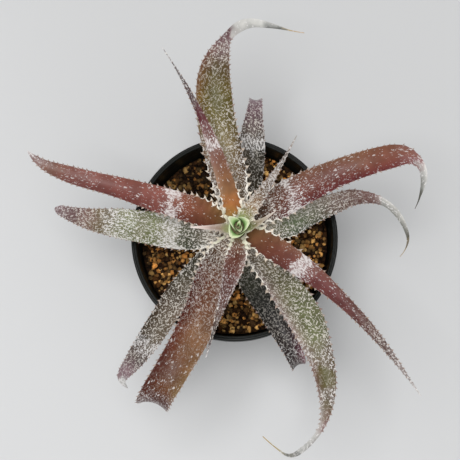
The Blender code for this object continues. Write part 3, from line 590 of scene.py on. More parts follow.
class StudioSettings(bpy.types.PropertyGroup):
    """The floor, the lamps and the camera."""

    floor_colour: colour_setting(
        "Floor colour", "Colour of the pale floor", (0.592, 0.597, 0.602))
    key_power: bpy.props.FloatProperty(
        name="Key power", description="Power of the large soft lamp", default=13.2, min=0, unit="POWER")
    world_strength: bpy.props.FloatProperty(
        name="Surroundings", description="Strength of the light from all round", default=0.54, min=0)
    camera_distance: bpy.props.FloatProperty(
        name="Camera distance", description="From the camera to the middle of the pot's rim",
        default=0.70, min=0.1, unit="LENGTH")
    camera_elevation: bpy.props.FloatProperty(
        name="Camera elevation", description="Angle of the camera above the horizon",
        default=math.radians(81), subtype="ANGLE")
    lens: bpy.props.FloatProperty(
        name="Lens", description="Focal length of the camera", default=108.0, min=10)


# ---------------------------------------------------------------- finishes

class Number:
    """A shader socket that carries a number, so that shader maths reads as an expression."""

    def __init__(self, finish, socket):
        self.finish = finish
        self.socket = socket

    def math(self, operation, *values):
        node = self.finish.add("ShaderNodeMath", {"operation": operation}, dict(enumerate(values)))
        return self.finish.number(node.outputs[0])

    def __add__(self, other):
        return self.math("ADD", self, other)

    def __sub__(self, other):
        return self.math("SUBTRACT", self, other)

    def __rsub__(self, other):
        return self.math("SUBTRACT", other, self)

    def __mul__(self, other):
        return self.math("MULTIPLY", self, other)

    def __lt__(self, other):
        return self.math("LESS_THAN", self, other)

    def __gt__(self, other):
        return self.math("GREATER_THAN", self, other)

    __radd__ = __add__
    __rmul__ = __mul__

    def sine(self):
        return self.math("SINE", self)

    def most(self, other):
        return self.math("MAXIMUM", self, other)

    def ramp(self, low, high, to_low=0.0, to_high=1.0):
        """Eased from to_low at low up to to_high at high."""
        node = self.finish.add(
            "ShaderNodeMapRange", {"interpolation_type": "SMOOTHSTEP"},
            {"Value": self, "From Min": low, "From Max": high, "To Min": to_low, "To Max": to_high})
        return self.finish.number(node.outputs[0])


class Finish:
    """A material under construction."""

    def __init__(self, name):
        self.material = bpy.data.materials.new(name)
        self.material.use_nodes = True
        self.tree = self.material.node_tree
        self.shader = self.tree.nodes["Principled BSDF"]

    def join(self, socket, value):
        if isinstance(value, Number):
            value = value.socket
        if isinstance(value, bpy.types.NodeSocket):
            self.tree.links.new(value, socket)
        else:
            socket.default_value = value

    def add(self, kind, settings=None, inputs=None):
        node = self.tree.nodes.new(kind)
        for key, value in (settings or {}).items():
            setattr(node, key, value)
        for key, value in (inputs or {}).items():
            self.join(node.inputs[key], value)
        return node

    def number(self, socket):
        return Number(self, socket)

    def own_place(self):
        """Object coordinates, which stay with the piece."""
        return self.add("ShaderNodeTexCoord").outputs["Object"]

    def attribute(self, name):
        return self.add("ShaderNodeAttribute", {"attribute_name": name}).outputs

    def channels(self, colour):
        """A colour's red, green and blue as numbers."""
        node = self.add("ShaderNodeSeparateColor", None, {"Color": colour})
        return [self.number(socket) for socket in node.outputs]

    def axes(self, place):
        """A place's x, y and z as numbers."""
        node = self.add("ShaderNodeSeparateXYZ", None, {0: place})
        return [self.number(socket) for socket in node.outputs]

    def blend(self, factor, one, two, mode="MIX"):
        """One colour laid over another."""
        node = self.add(
            "ShaderNodeMix", {"data_type": "RGBA", "blend_type": mode}, {0: factor, 6: one, 7: two})
        return node.outputs[2]

    def noise(self, place, scale, detail=2.0, roughness=0.5, distortion=0.0, flat=False):
        node = self.add(
            "ShaderNodeTexNoise", {"noise_dimensions": "2D" if flat else "3D"},
            {"Vector": place, "Scale": scale, "Detail": detail, "Roughness": roughness,
             "Distortion": distortion})
        return self.number(node.outputs[0])

    def stretch(self, place, scale, shift=(0, 0, 0)):
        node = self.add("ShaderNodeVectorMath", {"operation": "MULTIPLY_ADD"},
                        {0: place, 1: scale, 2: shift})
        return node.outputs[0]

    def relief(self, height, distance, strength=1.0):
        """Raises the surface by a height from 0 to 1 times a distance in metres."""
        bump = self.add("ShaderNodeBump", None, {"Strength": strength, "Distance": distance,
                                                 "Height": height})
        self.join(self.shader.inputs["Normal"], bump.outputs[0])

    def surface(self, colour, roughness, specular=None):
        """What covers the piece: a colour and a roughness that vary, and one level of gloss."""
        self.join(self.shader.inputs["Base Color"], colour)
        self.join(self.shader.inputs["Roughness"], roughness)
        if specular is not None:
            self.shader.inputs["Specular IOR Level"].default_value = specular


def opaque(colour):
    return (*colour, 1.0)


def leaf_skin(settings):
    """Skin under pale scales: loose flecks, a fine maze of them, and solid frost."""
    finish = Finish("leaf skin")
    place = finish.add("ShaderNodeUVMap", {"uv_map": "blade"}).outputs[0]
    tint = finish.attribute("tint")["Color"]
    cover = finish.attribute("cover")
    flecks_here, maze_here, frost_here = finish.channels(cover["Color"])
    edging = finish.number(cover["Alpha"])

    drift = finish.noise(place, 0.09, 3, 0.6, flat=True)
    fine = finish.noise(finish.stretch(place, (1.0, 0.55, 1.0)), 1.2, 2, 0.6, flat=True)
    wander = finish.noise(place, 0.5, 2, 0.5, flat=True)

    # flecks lie lengthwise, in three sizes, and come in drifts
    aside = finish.add("ShaderNodeCombineXYZ", None, {0: wander * 1.6})
    bent = finish.add("ShaderNodeVectorMath", {"operation": "ADD"}, {0: place, 1: aside.outputs[0]})
    flecks = None
    for cell, part in ((0.68, 0.7), (1.15, 0.8), (1.9, 0.55)):  # cells to the mm, share with a fleck
        cells = finish.add(
            "ShaderNodeTexVoronoi", {"voronoi_dimensions": "2D"},
            {"Vector": finish.stretch(bent.outputs[0], (1.3, 0.45, 1.0)), "Scale": cell})
        choice, size, strength = finish.channels(cells.outputs["Color"])
        chosen = choice < flecks_here * part * drift.ramp(0.3, 0.62, 0.35, 1.15)
        spot = (size * 0.2 + 0.12 - finish.number(cells.outputs["Distance"])).ramp(-0.03, 0.05) * chosen
        spot = spot * strength.ramp(0, 1, 0.55, 1.0)
        flecks = spot if flecks is None else flecks.most(spot)

    # the maze follows the level lines of a slow noise
    slow = finish.noise(finish.stretch(place, (1.0, 0.8, 1.0), (40, 9, 0)), 0.68, 1.5, 0.5, 0.4, flat=True)
    lines = (slow * 14.5).sine().ramp(0.58, 0.88)
    broken = finish.noise(place, 0.9, 1, 0.5, flat=True).ramp(0.34, 0.46)
    maze = lines * broken * maze_here.ramp(0.0, 0.8)

    frost = (fine * 2.2 + frost_here * 0.9).ramp(1.7, 1.92) * frost_here.ramp(0.02, 0.3)
    scales = flecks.most(maze).most(frost)

    # the skin, then the scales over it, warmer and paler by the foot: partly the pale crust there, partly
    # painted light that makes up for the shade deep between the leaves
    shade = finish.blend(1.0, tint, finish.blend(
        drift.ramp(0.3, 0.7), (0.82, 0.81, 0.80, 1), (1.14, 1.12, 1.1, 1)), "MULTIPLY")
    shade = finish.blend(frost_here.ramp(0.55, 0.95, 0.0, 0.24), shade, opaque(settings.scale_colour))
    along = finish.axes(place)[1]
    foot_painted_light = along.ramp(6.0, 34.0, 1.0, 0.0)
    thin = finish.blend(0.3, opaque(settings.thin_colour), tint)
    thick = finish.blend(frost_here.ramp(0.0, 0.35, 0.5, 0.3), opaque(settings.scale_colour), tint)
    # painted light: near the foot the scales take the crust's pale colour, making up for the shade deep in
    # the rosette
    thick = finish.blend(foot_painted_light * 0.85, thick, opaque(settings.crust_colour))
    colour = finish.blend(maze, shade, finish.blend(frost_here.ramp(0.1, 0.5), thin, thick))
    colour = finish.blend(flecks.most(frost), colour, thick)

    # the crust along the margins
    lumps = finish.noise(finish.stretch(place, (1.0, 0.8, 1.0), (7, 90, 0)), 0.6, 2, 0.6, flat=True)
    margin = (edging + lumps * 0.9).ramp(0.95, 1.05)
    crust = finish.blend(along.ramp(7.0, 14.0, 0.4, 0.0), opaque(settings.crust_colour), GOLD_GREEN)
    colour = finish.blend(margin, colour, crust)
    finish.surface(colour, scales.most(margin).ramp(0, 1, 0.42, 0.75), 0.2)

    ribs = finish.stretch(place, (1.5, 0.04, 1.0))
    veins = finish.noise(ribs, 1.0, 2, 0.5, flat=True)
    finish.relief(scales * 0.7 + veins * 0.5, 0.12 * MM, 0.8)
    return finish.material


def tooth_horn():
    """Horn in each tooth's own colour, mottled with brown."""
    finish = Finish("tooth horn")
    tint = finish.attribute("tint")["Color"]
    spots = finish.noise(finish.own_place(), 900, 2)
    colour = finish.blend(spots.ramp(0.4, 0.7) * 0.35, tint, (0.34, 0.23, 0.15, 1))
    finish.surface(colour, spots.ramp(0.3, 0.7, 0.35, 0.6))
    finish.relief(spots, 0.05 * MM, 0.5)
    return finish.material


def grain_clay():
    """Dusty baked clay, each grain with its own colour."""
    finish = Finish("grain clay")
    tint = finish.attribute("tint")["Color"]
    place = finish.own_place()
    pits = finish.noise(place, 1400, 3, 0.65)
    blotch = finish.noise(place, 330, 2, 0.5)
    shade = finish.blend(blotch.ramp(0.3, 0.7), (0.55, 0.5, 0.45, 1), (1.35, 1.3, 1.25, 1))
    finish.surface(finish.blend(1.0, tint, shade, "MULTIPLY"), pits.ramp(0.3, 0.7, 0.7, 0.95), 0.1)
    finish.relief(pits, 0.25 * MM, 0.9)
    return finish.material


def pot_plastic(settings):
    """Satin black moulded plastic with fine scuffs and a little dried lime."""
    finish = Finish("pot plastic")
    place = finish.own_place()
    grain = finish.noise(place, 2500, 2)
    scuffs = finish.noise(finish.stretch(place, (1, 1, 9)), 60, 4, 0.65)
    lime = finish.noise(place, 160, 4, 0.7).ramp(0.60, 0.74)
    colour = finish.blend(lime * 0.05, opaque(settings.colour), (0.35, 0.34, 0.31, 1))
    finish.surface(colour, scuffs.ramp(0.35, 0.65, 0.30, 0.46) + lime * 0.1, 0.15)
    finish.relief(grain + scuffs, 0.03 * MM, 0.5)
    return finish.material


def soil_bed():
    """The bed under the loose grains, near black: painted shade in the hollows between the grains."""
    finish = Finish("soil bed")
    lumps = finish.noise(finish.own_place(), 420, 4, 0.65)
    colour = finish.blend(lumps.ramp(0.4, 0.75), (0.005, 0.003, 0.002, 1), (0.05, 0.022, 0.008, 1))
    finish.surface(colour, lumps.ramp(0.3, 0.7, 0.8, 0.98), 0.05)
    finish.relief(lumps, 0.8 * MM, 1.0)
    return finish.material


def bark(name, dark, light):
    """Fibrous skin of the stem and the roots."""
    finish = Finish(name)
    place = finish.own_place()
    fibres = finish.noise(finish.stretch(place, (1, 1, 0.25)), 1500, 4, 0.6)
    rings = finish.noise(finish.stretch(place, (0.2, 0.2, 2.5)), 420, 3, 0.6)
    colour = finish.blend(fibres.ramp(0.3, 0.7), opaque(dark), opaque(light))
    colour = finish.blend(rings.ramp(0.5, 0.7) * 0.5, colour, (0.08, 0.045, 0.02, 1))
    finish.surface(colour, fibres.ramp(0.3, 0.7, 0.6, 0.9))
    finish.relief(fibres + rings, 0.2 * MM, 0.7)
    return finish.material


def floor_card(settings):
    """A plain pale card, painted a little darker towards the far right, where the light falls off."""
    finish = Finish("floor card")
    place = finish.own_place()
    x, y = finish.axes(place)[:2]
    # painted shade: the card's far right is given a darker colour for the light falling off there
    near, far = settings.floor_colour, tuple(c * 0.91 for c in settings.floor_colour)
    colour = finish.blend((x + y).ramp(-0.18, 0.2), opaque(near), opaque(far))
    finish.surface(colour, finish.noise(place, 900, 2).ramp(0, 1, 0.85, 0.95))
    return finish.material


# ---------------------------------------------------------------- making pieces

def as_mesh(name, bm):
    mesh = bpy.data.meshes.new(name)
    bm.to_mesh(mesh)
    bm.free()
    return mesh


def placed(name, data):
    """A new object in the scene that shows a mesh, a lamp or a camera."""
    made = bpy.data.objects.new(name, data)
    bpy.context.scene.collection.objects.link(made)
    return made


def piece(name, bm, finish, slot, *nodes):
    """A finished piece from a bmesh: it rides on the plant's body and stands for its CAD nodes."""
    mesh = as_mesh(name, bm)
    mesh.shade_smooth()
    mesh.materials.append(finish)
    made = placed(name, mesh)
    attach(made, "root")
    if nodes:
        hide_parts(*nodes)
    return made


def tooth_stops(leaf, chance):
    """Shares of the length where the teeth of one margin stand, closer together further out."""
    stops, run = [], 0.5 * leaf.pitch * MM
    length = leaf.length * MM
    while run < length * (1 - max(leaf.tail, TEETH_END)):
        share = run / length
        stops.append(share)
        closing = 1 - min(1, max(0, share - 0.25) / 0.25) * (1 - OUTER_TOOTH_PITCH / leaf.pitch)
        run += leaf.pitch * MM * closing * chance.uniform(0.82, 1.18)
    return stops


def scallop(stops, share):
    """0 at a tooth, up to 1 halfway between two teeth."""
    for before, after in zip(stops, stops[1:]):
        if before <= share <= after:
            return math.sin(math.pi * (share - before) / (after - before)) ** 0.65
    return 0.0


def arch_depth(leaf, share):
    """How far the margin arches in between its teeth: deep by the foot, hardly at all further out."""
    return leaf.arch * MM * clamped(1.35 - share / 0.3, 0.12)


class Blade:
    """The surface of one leaf: places on it by share of the length and by turn round its section."""

    def __init__(self, leaf, foot_z, settings, chance):
        self.leaf = leaf
        self.settings = settings
        self.stations = max(30, round(leaf.length * MM / settings.station_pitch))
        self.frames = leaf_frames(leaf, foot_z, self.stations)
        self.stops = {side: tooth_stops(leaf, chance) for side in (-1, 1)}
        self.wave = chance.uniform(0, 50)
        widest = max(left - right for share, right, left in leaf.outline) * MM
        self.body = settings.thickness * min(1, widest / FULL_WIDTH)

    def place_at(self, station, turn):
        leaf = self.leaf
        share = station / self.stations
        point, along, side, up = self.frames[station]
        middle, full = margins_at(leaf, share)
        place = -math.cos(math.tau * turn)
        hand = 1 if place > 0 else -1
        half = full - min(arch_depth(leaf, share) * scallop(self.stops[hand], share), 0.3 * full)
        height = leaf.channel * full * abs(place) ** 1.8
        # the margins wave a little
        sway = noise.noise(Vector((share * leaf.length / 14, hand * 3.1, self.wave)))
        height += sway * 0.09 * full * place**2
        if turn > 0.5:
            belly = max(0.0, math.sin(math.tau * (turn - 0.5)))
            height -= self.body * (1 - THINNING * share) * belly**1.15 + EDGE_DEPTH * min(1, 6 * belly)
        # at its foot the blade wraps round the stem
        out = share * leaf.length * MM
        wrap = fading(out, self.settings.clasp) ** 2
        radius = FOOT_RADIUS + out
        angle = clamped(place * half / radius, -1.5, 1.5)
        heading = Vector((along.x, along.y, 0)).normalized()
        across = (1 - wrap) * place * half + wrap * radius * math.sin(angle)
        drawn_back = wrap * radius * (1 - math.cos(angle))
        return point + side * (middle + across) + up * height - heading * drawn_back


class Cup:
    """The surface of one heart leaf, which wraps round the growing tip inside the one before it."""

    def __init__(self, index, settings):
        first, turn = HEART_TURN
        self.heading = math.radians(first + turn * index)
        self.radius = (HEART_RADIUS - HEART_STEP * index) * MM
        self.length = HEART_LENGTH * (1 - 0.08 * index)
        self.lean = HEART_LEANS[index] * MM
        self.thickness = settings.cup_thickness
        self.stations = 40
        self.leaf = Leaf(length=self.length / MM, course=(), outline=(), channel=0, pitch=3, arch=0,
                         tooth=0, edging=0.5, tail=0)

    def place_at(self, station, turn):
        share = station / self.stations
        place = -math.cos(math.tau * turn)
        inward = self.thickness * abs(math.sin(math.tau * turn)) ** 0.6 * (1 if turn < 0.5 else 0)
        reach = self.radius + 0.5 * MM * share**2 - inward
        wrap = HEART_WRAP * (1 - 0.93 * share**2)
        angle = self.heading + wrap * place
        spoke = Vector((reach * math.cos(angle), reach * math.sin(angle), 0))
        spoke += Vector((math.cos(self.heading), math.sin(self.heading), 0)) * self.lean * share**3
        long_way = Vector((math.cos(HEART_TILT), math.sin(HEART_TILT), 0))
        spoke -= (spoke - long_way * spoke.dot(long_way)) * (1 - HEART_NARROWING)
        rim = 1.2 * MM * noise.noise(Vector((3 * place, self.heading, share)))
        height = STEM_HIGH.z + 0.9 * MM + self.length * share + rim * share
        return STEM_PLACE + spoke + Vector((0, 0, height))


def paint(bm, spots, shape, bands, number, half_at):
    """Writes the blade map, the skin colour and the cover of scales on every corner."""
    leaf = shape.leaf
    uv = bm.loops.layers.uv.new("blade")
    tint = bm.loops.layers.float_color.new("tint")
    cover = bm.loops.layers.float_color.new("cover")
    under_skin = linear(UNDER_SKIN)
    for face in bm.faces:
        under = sum(spots[vert][1] for vert in face.verts) / 4 > 0.5
        for loop in face.loops:
            station, turn = spots[loop.vert]
            share = station / shape.stations
            place = -math.cos(math.tau * turn)
            half = half_at(share)
            far = share * leaf.length
            drift = noise.noise(Vector((place * half / (3 * MM), far / 4, number * 7.7)))
            skin, scales = band_at(bands, share + 0.035 * drift * min(1, share * 8), place)
            if under and leaf.course:
                skin = tuple(0.45 * c + 0.55 * w for c, w in zip(skin, under_skin))
                scales = UNDER_COVER
            # a pale crust along the margin, widest by the foot, and more frost beside it
            rim = (1 - abs(place)) * half
            foot = fading(share, 0.28)
            edge = leaf.edging * fading(rim, (1.5 + 2.1 * foot) * MM) * (0.35 + 0.85 * foot)
            flecks, maze, frost = scales
            frost += 0.37 * leaf.edging * fading(rim, 2.9 * MM) * max(0.3, 1 - share)
            if share > 1 - leaf.tail:
                edge = 0.0
            loop[uv].uv = (place * half / MM + number * MAP_ASIDE, far + (MAP_UNDER if under else 0))
            loop[tint] = (*skin, 1.0)
            loop[cover] = (flecks, maze, min(1.0, frost), min(1.0, edge))


def skinned(name, shape, rows, number, half_at, settings, skin, slot):
    """A closed blade: a grid bent round the shape's section and along its course."""
    bm = bmesh.new()
    rounds = settings.round_count
    bmesh.ops.create_grid(bm, x_segments=shape.stations, y_segments=rounds, size=0.5)
    spots = {vert: (round((vert.co.x + 0.5) * shape.stations), vert.co.y + 0.5) for vert in bm.verts}
    paint(bm, spots, shape, banded(rows), number, half_at)
    for vert, (station, turn) in spots.items():
        vert.co = shape.place_at(station, turn)
    bmesh.ops.remove_doubles(bm, verts=bm.verts, dist=0.002 * MM)
    bmesh.ops.holes_fill(bm, edges=[edge for edge in bm.edges if edge.is_boundary], sides=0)
    bmesh.ops.recalc_face_normals(bm, faces=bm.faces)
    return piece(f"{name}_blade", bm, skin, slot, name)


def tooth_mould():
    """One hooked tooth, 1 long along Z and leaning to +X, as a mesh to copy."""
    bm = bmesh.new()
    bmesh.ops.create_cone(bm, cap_ends=True, segments=6, radius1=0.3, radius2=0.02, depth=1.0,
                          matrix=Matrix.Translation((0, 0, 0.5)))
    sides = [edge for edge in bm.edges if abs(edge.verts[0].co.z - edge.verts[1].co.z) > 0.5]
    bmesh.ops.subdivide_edges(bm, edges=sides, cuts=3)
    for vert in bm.verts:
        rise = vert.co.z
        vert.co.x = vert.co.x * (2.2 - 1.4 * rise) + 0.55 * rise**2
        vert.co.y *= 0.8
    return as_mesh("tooth_mould", bm)


def make_teeth(name, shape, settings, mould, chance, horn, slot):
    """The hooked teeth that stand where the scallops of a margin meet, cream by the foot."""
    leaf = shape.leaf
    bm = bmesh.new()
    tint = bm.verts.layers.float_color.new("tint")
    for side, stops in shape.stops.items():
        for share in stops:
            station = min(shape.stations - 1, round(share * shape.stations))
            along, across, up = shape.frames[station][1:]
            root = shape.place_at(station, 0.5 if side > 0 else 0.0)
            size = settings.tooth_length * leaf.tooth * chance.uniform(0.8, 1.2)
            half = margins_at(leaf, share)[1]  # the teeth are smaller far out and on a narrow blade
            size *= max(0.5, 1.15 - 1.2 * share) * min(1.0, 0.2 + half / (2.2 * MM))
            out = (across * side + along * 0.12 + up * chance.uniform(0.1, 0.6)).normalized()
            lean = (along - out * along.dot(out)).normalized()
            turned = Matrix((lean, out.cross(lean), out)).transposed().to_4x4()
            at = Matrix.Translation(root - out * 0.3 * size) @ turned @ Matrix.Scale(size * 1.3, 4)
            count = len(bm.verts)
            bm.from_mesh(mould)
            bm.verts.ensure_lookup_table()
            bmesh.ops.transform(bm, matrix=at, verts=bm.verts[count:])
            dusk = clamped(3.4 * share - 0.2, high=0.95) * chance.uniform(0.75, 1.05)
            skin = [cream + (dull - cream) * dusk
                    for cream, dull in zip(settings.tooth_colour, settings.old_tooth_colour)]
            for vert in bm.verts[count:]:
                vert[tint] = (*skin, 1)
    bmesh.ops.recalc_face_normals(bm, faces=bm.faces)
    return piece(f"{name}_teeth", bm, horn, slot)


def honeycomb(chance, stray, margin):
    """The soil's largest grains in rows set off like a honeycomb, or its hollows where stray is 0."""
    edge = SOIL_HIGH.x
    count = math.ceil(edge / GRAIN_PITCH / ROW_PITCH)
    for row in range(-count, count + 1):
        for column in range(-count, count + 1):
            for across, up in ((0, 0),) if stray else ((0.5, 1 / 3), (0, 2 / 3)):
                x = (column + 0.5 * (row % 2) + across + chance.uniform(-stray, stray)) * GRAIN_PITCH
                y = ((row + up) * ROW_PITCH + chance.uniform(-stray, stray)) * GRAIN_PITCH
                chance.random()  # drawn for each grain's height in the solid
                if math.hypot(x, y) < edge - margin * GRAIN_PITCH:
                    yield x, y


def painted_rim_shadow(x, y):
    """Painted shadow of the pot's rim on the soil: 0 out in the light, up to 1 towards the back left by
    the wall.
    """
    out = math.hypot(x, y)
    facing = (x * math.cos(RIM_SHADOW_SIDE) + y * math.sin(RIM_SHADOW_SIDE)) / max(out, MM)
    return clamped((facing - 0.8) / 0.12) * clamped(out / (8 * MM) - 2.5)


def make_grains(settings, bed):
    """Broken, rounded grains on the soil bed, each with its own tint, and crumbs in between."""
    rng = random.Random(settings.seed)
    surface = BVHTree.FromPolygons(
        [vert.co for vert in bed.data.vertices], [face.vertices for face in bed.data.polygons])
    bm = bmesh.new()
    bmesh.ops.create_icosphere(bm, subdivisions=2, radius=1.0)
    mould = as_mesh("grain_mould", bm)
    bm = bmesh.new()
    tint = bm.verts.layers.float_color.new("tint")
    grains = []
    for x, y in honeycomb(random.Random(GRAIN_SEED), 0.2, 0.45):
        grains.append((x, y, settings.grain_radius * rng.uniform(0.8, 1.05), GRAIN_SUNK))
    for x, y in honeycomb(rng, 0, 0.3):
        stray = settings.grain_radius * 0.4
        for crumb in range(CRUMBS):
            size = settings.grain_radius * rng.uniform(0.3, 0.62)
            grains.append((x + rng.uniform(-stray, stray), y + rng.uniform(-stray, stray), size,
                           0.2 + 0.5 * rng.random()))
    for x, y, size, sunk in grains:
        if math.hypot(x - STEM_PLACE.x, y - STEM_PLACE.y) < STEM_RADIUS + size:
            continue
        hit = surface.ray_cast(Vector((x, y, POT_HIGH.z)), Vector((0, 0, -1)))[0]
        if hit is None:
            continue
        height = hit.z + size * sunk
        squash = Matrix.Diagonal([rng.uniform(0.8, 1.15) * size for axis in range(3)])
        turn = rng.uniform(0, math.tau)
        spin = Matrix.Rotation(turn, 3, Vector([rng.uniform(-1, 1) for axis in range(3)]))
        # painted shadow: towards the back left, under the pot's rim, the grains are darker and fewer of
        # them are pale
        rim_shadow = painted_rim_shadow(x, y)
        # the crumbs in the hollows are darker: painted shade between the grains
        hollow_shade = 1.0 if size > 0.7 * settings.grain_radius else CRUMB_PAINTED_SHADE
        shade = rng.random() ** (2.2 + 1.2 * rim_shadow) * hollow_shade
        cuts = [Vector([rng.gauss(0, 1) for axis in range(3)]).normalized() for cut in range(GRAIN_CUTS)]
        warmth = rng.uniform(0.75, 1.15)
        red, green, blue = (low + (high - low) * shade
                            for low, high in zip(settings.dark_colour, settings.light_colour))
        where = Vector((rng.uniform(0, 99), rng.uniform(0, 99), 0))
        count = len(bm.verts)
        bm.from_mesh(mould)
        bm.verts.ensure_lookup_table()
        # each grain is lumpy, with flat broken faces
        for vert in bm.verts[count:]:
            lump = 0.36 * noise.noise(vert.co * 1.1 + where) + 0.22 * noise.noise(vert.co * 2.6 + where)
            place = vert.co * (1.06 + lump)
            for cut in cuts:
                place -= cut * max(0.0, place.dot(cut) - CUT_REACH)
            vert.co = Vector((x, y, height)) + squash @ spin @ place
            vert[tint] = (*((1 - 0.6 * rim_shadow) * c for c in (red, green * warmth, blue * warmth**2)), 1)
    return piece("soil_grains", bm, grain_clay(), "soil")


def pot_profile(settings):
    """The pot's section, from the middle of its underside out, up, over the lip and back in."""
    top, rim = POT_HIGH.z, POT_HIGH.x
    foot, under_rim = POT_FOOT * MM, top - POT_RIM_DEPTH
    wall, high = settings.wall, rim - POT_LIP
    inner = high - wall

    def outer(z):
        return foot + (high - foot) * z / under_rim

    base = ((0, 0), (13.0, 0), (13.6, 0.3), (14.2, 2.4), (14.8, 3.0), (32.2, 3.0), (33.0, 2.5),
            (33.8, 0.3), (34.4, 0), (37.7, 0), (38.3, 0.25), (POT_FOOT, 0.8))
    lip = ((0, 1.0), (0.15, 0.4), (0.5, 0.08), (1.0, 0), (1.25, 0.12), (1.45, 0.34), (1.75, 0.34),
           (1.95, 0.12), (2.2, 0.1))  # in from the rim and down from its top
    rows = [(r * MM, z * MM) for r, z in base]
    rows += [(outer(z * MM), z * MM) for z in (2, 20, 40, 60, 80, 83.2)]
    rows += [(high + 0.15 * MM, under_rim - 0.2 * MM)]
    rows += [(rim - r * MM, under_rim + z * MM) for r, z in ((0.5, 0), (0.12, 0.2), (0, 0.6))]
    rows += [(rim - r * MM, top - z * MM) for r, z in lip]
    rows += [(inner + 0.15 * MM, top - 0.4 * MM), (inner, top - 1.2 * MM),
             (inner, under_rim + 1.0 * MM), (inner - 0.25 * MM, under_rim)]
    rows += [(outer(z * MM) - wall, z * MM) for z in (80, 76, 60, 40, 20, 6.0)]
    rows += [(outer(5 * MM) - wall - 0.8 * MM, 5.0 * MM), (0, 5.0 * MM)]
    return rows


# ---------------------------------------------------------------- operators

class PLANT_OT_pot(bpy.types.Operator):
    """Makes the black nursery pot with its rolled lip and drain holes"""

    bl_idname = "orthophytum.pot"
    bl_label = "Pot"

    def execute(self, context):
        settings = context.scene.orthophytum_pot
        bm = bmesh.new()
        points = [bm.verts.new((radius, 0, height)) for radius, height in pot_profile(settings)]
        edges = [bm.edges.new(pair) for pair in zip(points, points[1:])]
        bmesh.ops.spin(bm, geom=points + edges, cent=(0, 0, 0), axis=(0, 0, 1), angle=math.tau,
                       steps=settings.sides, use_merge=True)
        bmesh.ops.remove_doubles(bm, verts=bm.verts, dist=0.005 * MM)
        bmesh.ops.recalc_face_normals(bm, faces=bm.faces)
        pot = piece("pot_shell", bm, pot_plastic(settings), "pot_plastic", "pot")
        pot.data.set_sharp_from_angle(angle=math.radians(50))
        drill = bmesh.new()
        for hole in range(DRAIN_HOLES):
            turn = Matrix.Rotation(math.tau * hole / DRAIN_HOLES, 4, "Z")
            bmesh.ops.create_cone(
                drill, cap_ends=True, segments=32, radius1=DRAIN_RADIUS, radius2=DRAIN_RADIUS,
                depth=20 * MM, matrix=turn @ Matrix.Translation((DRAIN_CIRCLE, 0, 0)))
        cutter = placed("drain_drill", as_mesh("drain_drill", drill))
        cutter.hide_render = True
        cutter.hide_viewport = True
        holes = pot.modifiers.new("drain holes", "BOOLEAN")
        holes.operation = "DIFFERENCE"
        holes.solver = "EXACT"
        holes.object = cutter
        return {"FINISHED"}


class PLANT_OT_soil(bpy.types.Operator):
    """Finishes the soil bed and lays the loose grains on it"""

    bl_idname = "orthophytum.soil"
    bl_label = "Soil"

    def execute(self, context):
        bed = frame["nodes"]["soil"]
        bed.data.materials.clear()
        bed.data.materials.append(soil_bed())
        make_grains(context.scene.orthophytum_soil, bed)
        return {"FINISHED"}


class PLANT_OT_stem(bpy.types.Operator):
    """Finishes the stem and the roots"""

    bl_idname = "orthophytum.stem"
    bl_label = "Stem and roots"

    def execute(self, context):
        for node, dark, light in (("stem", (0.10, 0.085, 0.04), (0.30, 0.26, 0.14)),
                                  ("roots", (0.16, 0.09, 0.04), (0.42, 0.28, 0.15))):
            mesh = frame["nodes"][node].data
            mesh.materials.clear()
            mesh.materials.append(bark(f"{node} bark", dark, light))
        return {"FINISHED"}


class PLANT_OT_leaves(bpy.types.Operator):
    """Makes the leaves of the rosette with their teeth, from the oldest to the youngest"""

    bl_idname = "orthophytum.leaves"
    bl_label = "Leaves"

    def execute(self, context):
        settings = context.scene.orthophytum_plant
        skin, horn, mould = leaf_skin(settings), tooth_horn(), tooth_mould()
        slots = {row["node"]: row["material_slot"] for row in frame["record"]["subparts"]}
        for index, (leaf, rows) in enumerate(zip(LEAVES, SKINS)):
            name = f"leaf_{index + 1:02d}"
            chance = random.Random(settings.seed * 100 + index)
            shape = Blade(leaf, LOWEST_FOOT_Z + FOOT_PITCH * index, settings, chance)
            skinned(name, shape, rows, index, lambda share: margins_at(leaf, share)[1], settings, skin,
                    slots[name])
            make_teeth(name, shape, settings, mould, chance, horn, slots[name])
        for index in range(len(HEART_LEANS)):
            name = f"heart_leaf_{index + 1}"
            cup = Cup(index, settings)
            skinned(name, cup, HEART_SKINS, 30 + index, lambda share: 4 * MM * (1 - share), settings,
                    skin, slots[name])
        return {"FINISHED"}


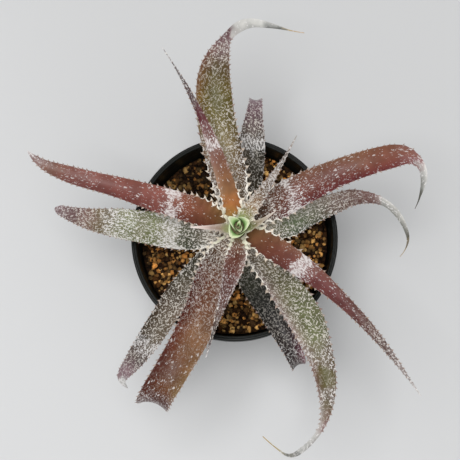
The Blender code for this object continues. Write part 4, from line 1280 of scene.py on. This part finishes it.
class PLANT_OT_studio(bpy.types.Operator):
    """Sets out the pale floor, the soft lamps and the camera above the plant"""

    bl_idname = "orthophytum.studio"
    bl_label = "Studio"

    def execute(self, context):
        settings = context.scene.orthophytum_studio
        scene = context.scene
        scene.view_settings.view_transform = "Standard"
        bm = bmesh.new()
        bmesh.ops.create_grid(bm, x_segments=1, y_segments=1, size=FLOOR_REACH)
        floor = placed("studio_floor", as_mesh("studio_floor", bm))
        floor.data.materials.append(floor_card(settings))
        floor.location.z = -FLOOR_DROP

        world = bpy.data.worlds.new("studio")
        world.use_nodes = True
        sky = world.node_tree.nodes["Background"].inputs
        sky["Color"].default_value = (1, 1, 1, 1)
        sky["Strength"].default_value = settings.world_strength
        scene.world = world

        rim = Vector((0, 0, POT_HIGH.z))
        for name, place, size, power in (
            ("key", KEY_PLACE, KEY_SIZE, settings.key_power),
            ("fill", FILL_PLACE, FILL_SIZE, settings.key_power * FILL_SHARE),
        ):
            lamp = bpy.data.lights.new(name, "AREA")
            lamp.shape = "DISK"
            lamp.size = size
            lamp.energy = power
            made = placed(name, lamp)
            made.location = rim + place
            made.rotation_euler = (-place).to_track_quat("-Z", "Y").to_euler()

        lens = bpy.data.cameras.new("camera")
        lens.lens = settings.lens
        lens.clip_start = 0.01
        camera = placed("camera", lens)
        lift = settings.camera_elevation
        back = Vector((0, -math.cos(lift), math.sin(lift)))
        upward = Vector((0, math.sin(lift), math.cos(lift)))
        aim = rim + back * settings.camera_distance + upward * AIM_UP * MM
        camera.location = aim - Vector((AIM_LEFT * MM, 0, 0))
        camera.rotation_euler = (-back).to_track_quat("-Z", "Y").to_euler()
        scene.camera = camera
        return {"FINISHED"}


class PLANT_PT_panel(bpy.types.Panel):
    """The settings and the pieces, in the order in which they are made"""

    bl_label = "Orthophytum"
    bl_idname = "PLANT_PT_panel"
    bl_space_type = "VIEW_3D"
    bl_region_type = "UI"
    bl_category = "Orthophytum"

    def draw(self, context):
        for title, group in (("Pot", "orthophytum_pot"), ("Soil", "orthophytum_soil"),
                             ("Leaves", "orthophytum_plant"), ("Studio", "orthophytum_studio")):
            box = self.layout.box()
            box.label(text=title)
            settings = getattr(context.scene, group)
            for key in settings.__annotations__:
                box.prop(settings, key)
        for step in STEPS:
            self.layout.operator(step)


STEPS = ("orthophytum.pot", "orthophytum.soil", "orthophytum.stem", "orthophytum.leaves",
         "orthophytum.studio")
GROUPS = {
    "orthophytum_pot": PotSettings,
    "orthophytum_soil": SoilSettings,
    "orthophytum_plant": PlantSettings,
    "orthophytum_studio": StudioSettings,
}
CLASSES = (*GROUPS.values(), PLANT_OT_pot, PLANT_OT_soil, PLANT_OT_stem, PLANT_OT_leaves, PLANT_OT_studio,
           PLANT_PT_panel)


def register():
    for made in CLASSES:
        bpy.utils.register_class(made)
    for name, group in GROUPS.items():
        setattr(bpy.types.Scene, name, bpy.props.PointerProperty(type=group))


def unregister():
    for name in GROUPS:
        delattr(bpy.types.Scene, name)
    for made in reversed(CLASSES):
        bpy.utils.unregister_class(made)


def main():
    """Registers the add-on and makes every piece in order."""
    register()
    bpy.ops.orthophytum.pot()
    bpy.ops.orthophytum.soil()
    bpy.ops.orthophytum.stem()
    bpy.ops.orthophytum.leaves()
    bpy.ops.orthophytum.studio()


if __name__ == "__main__":
    main()
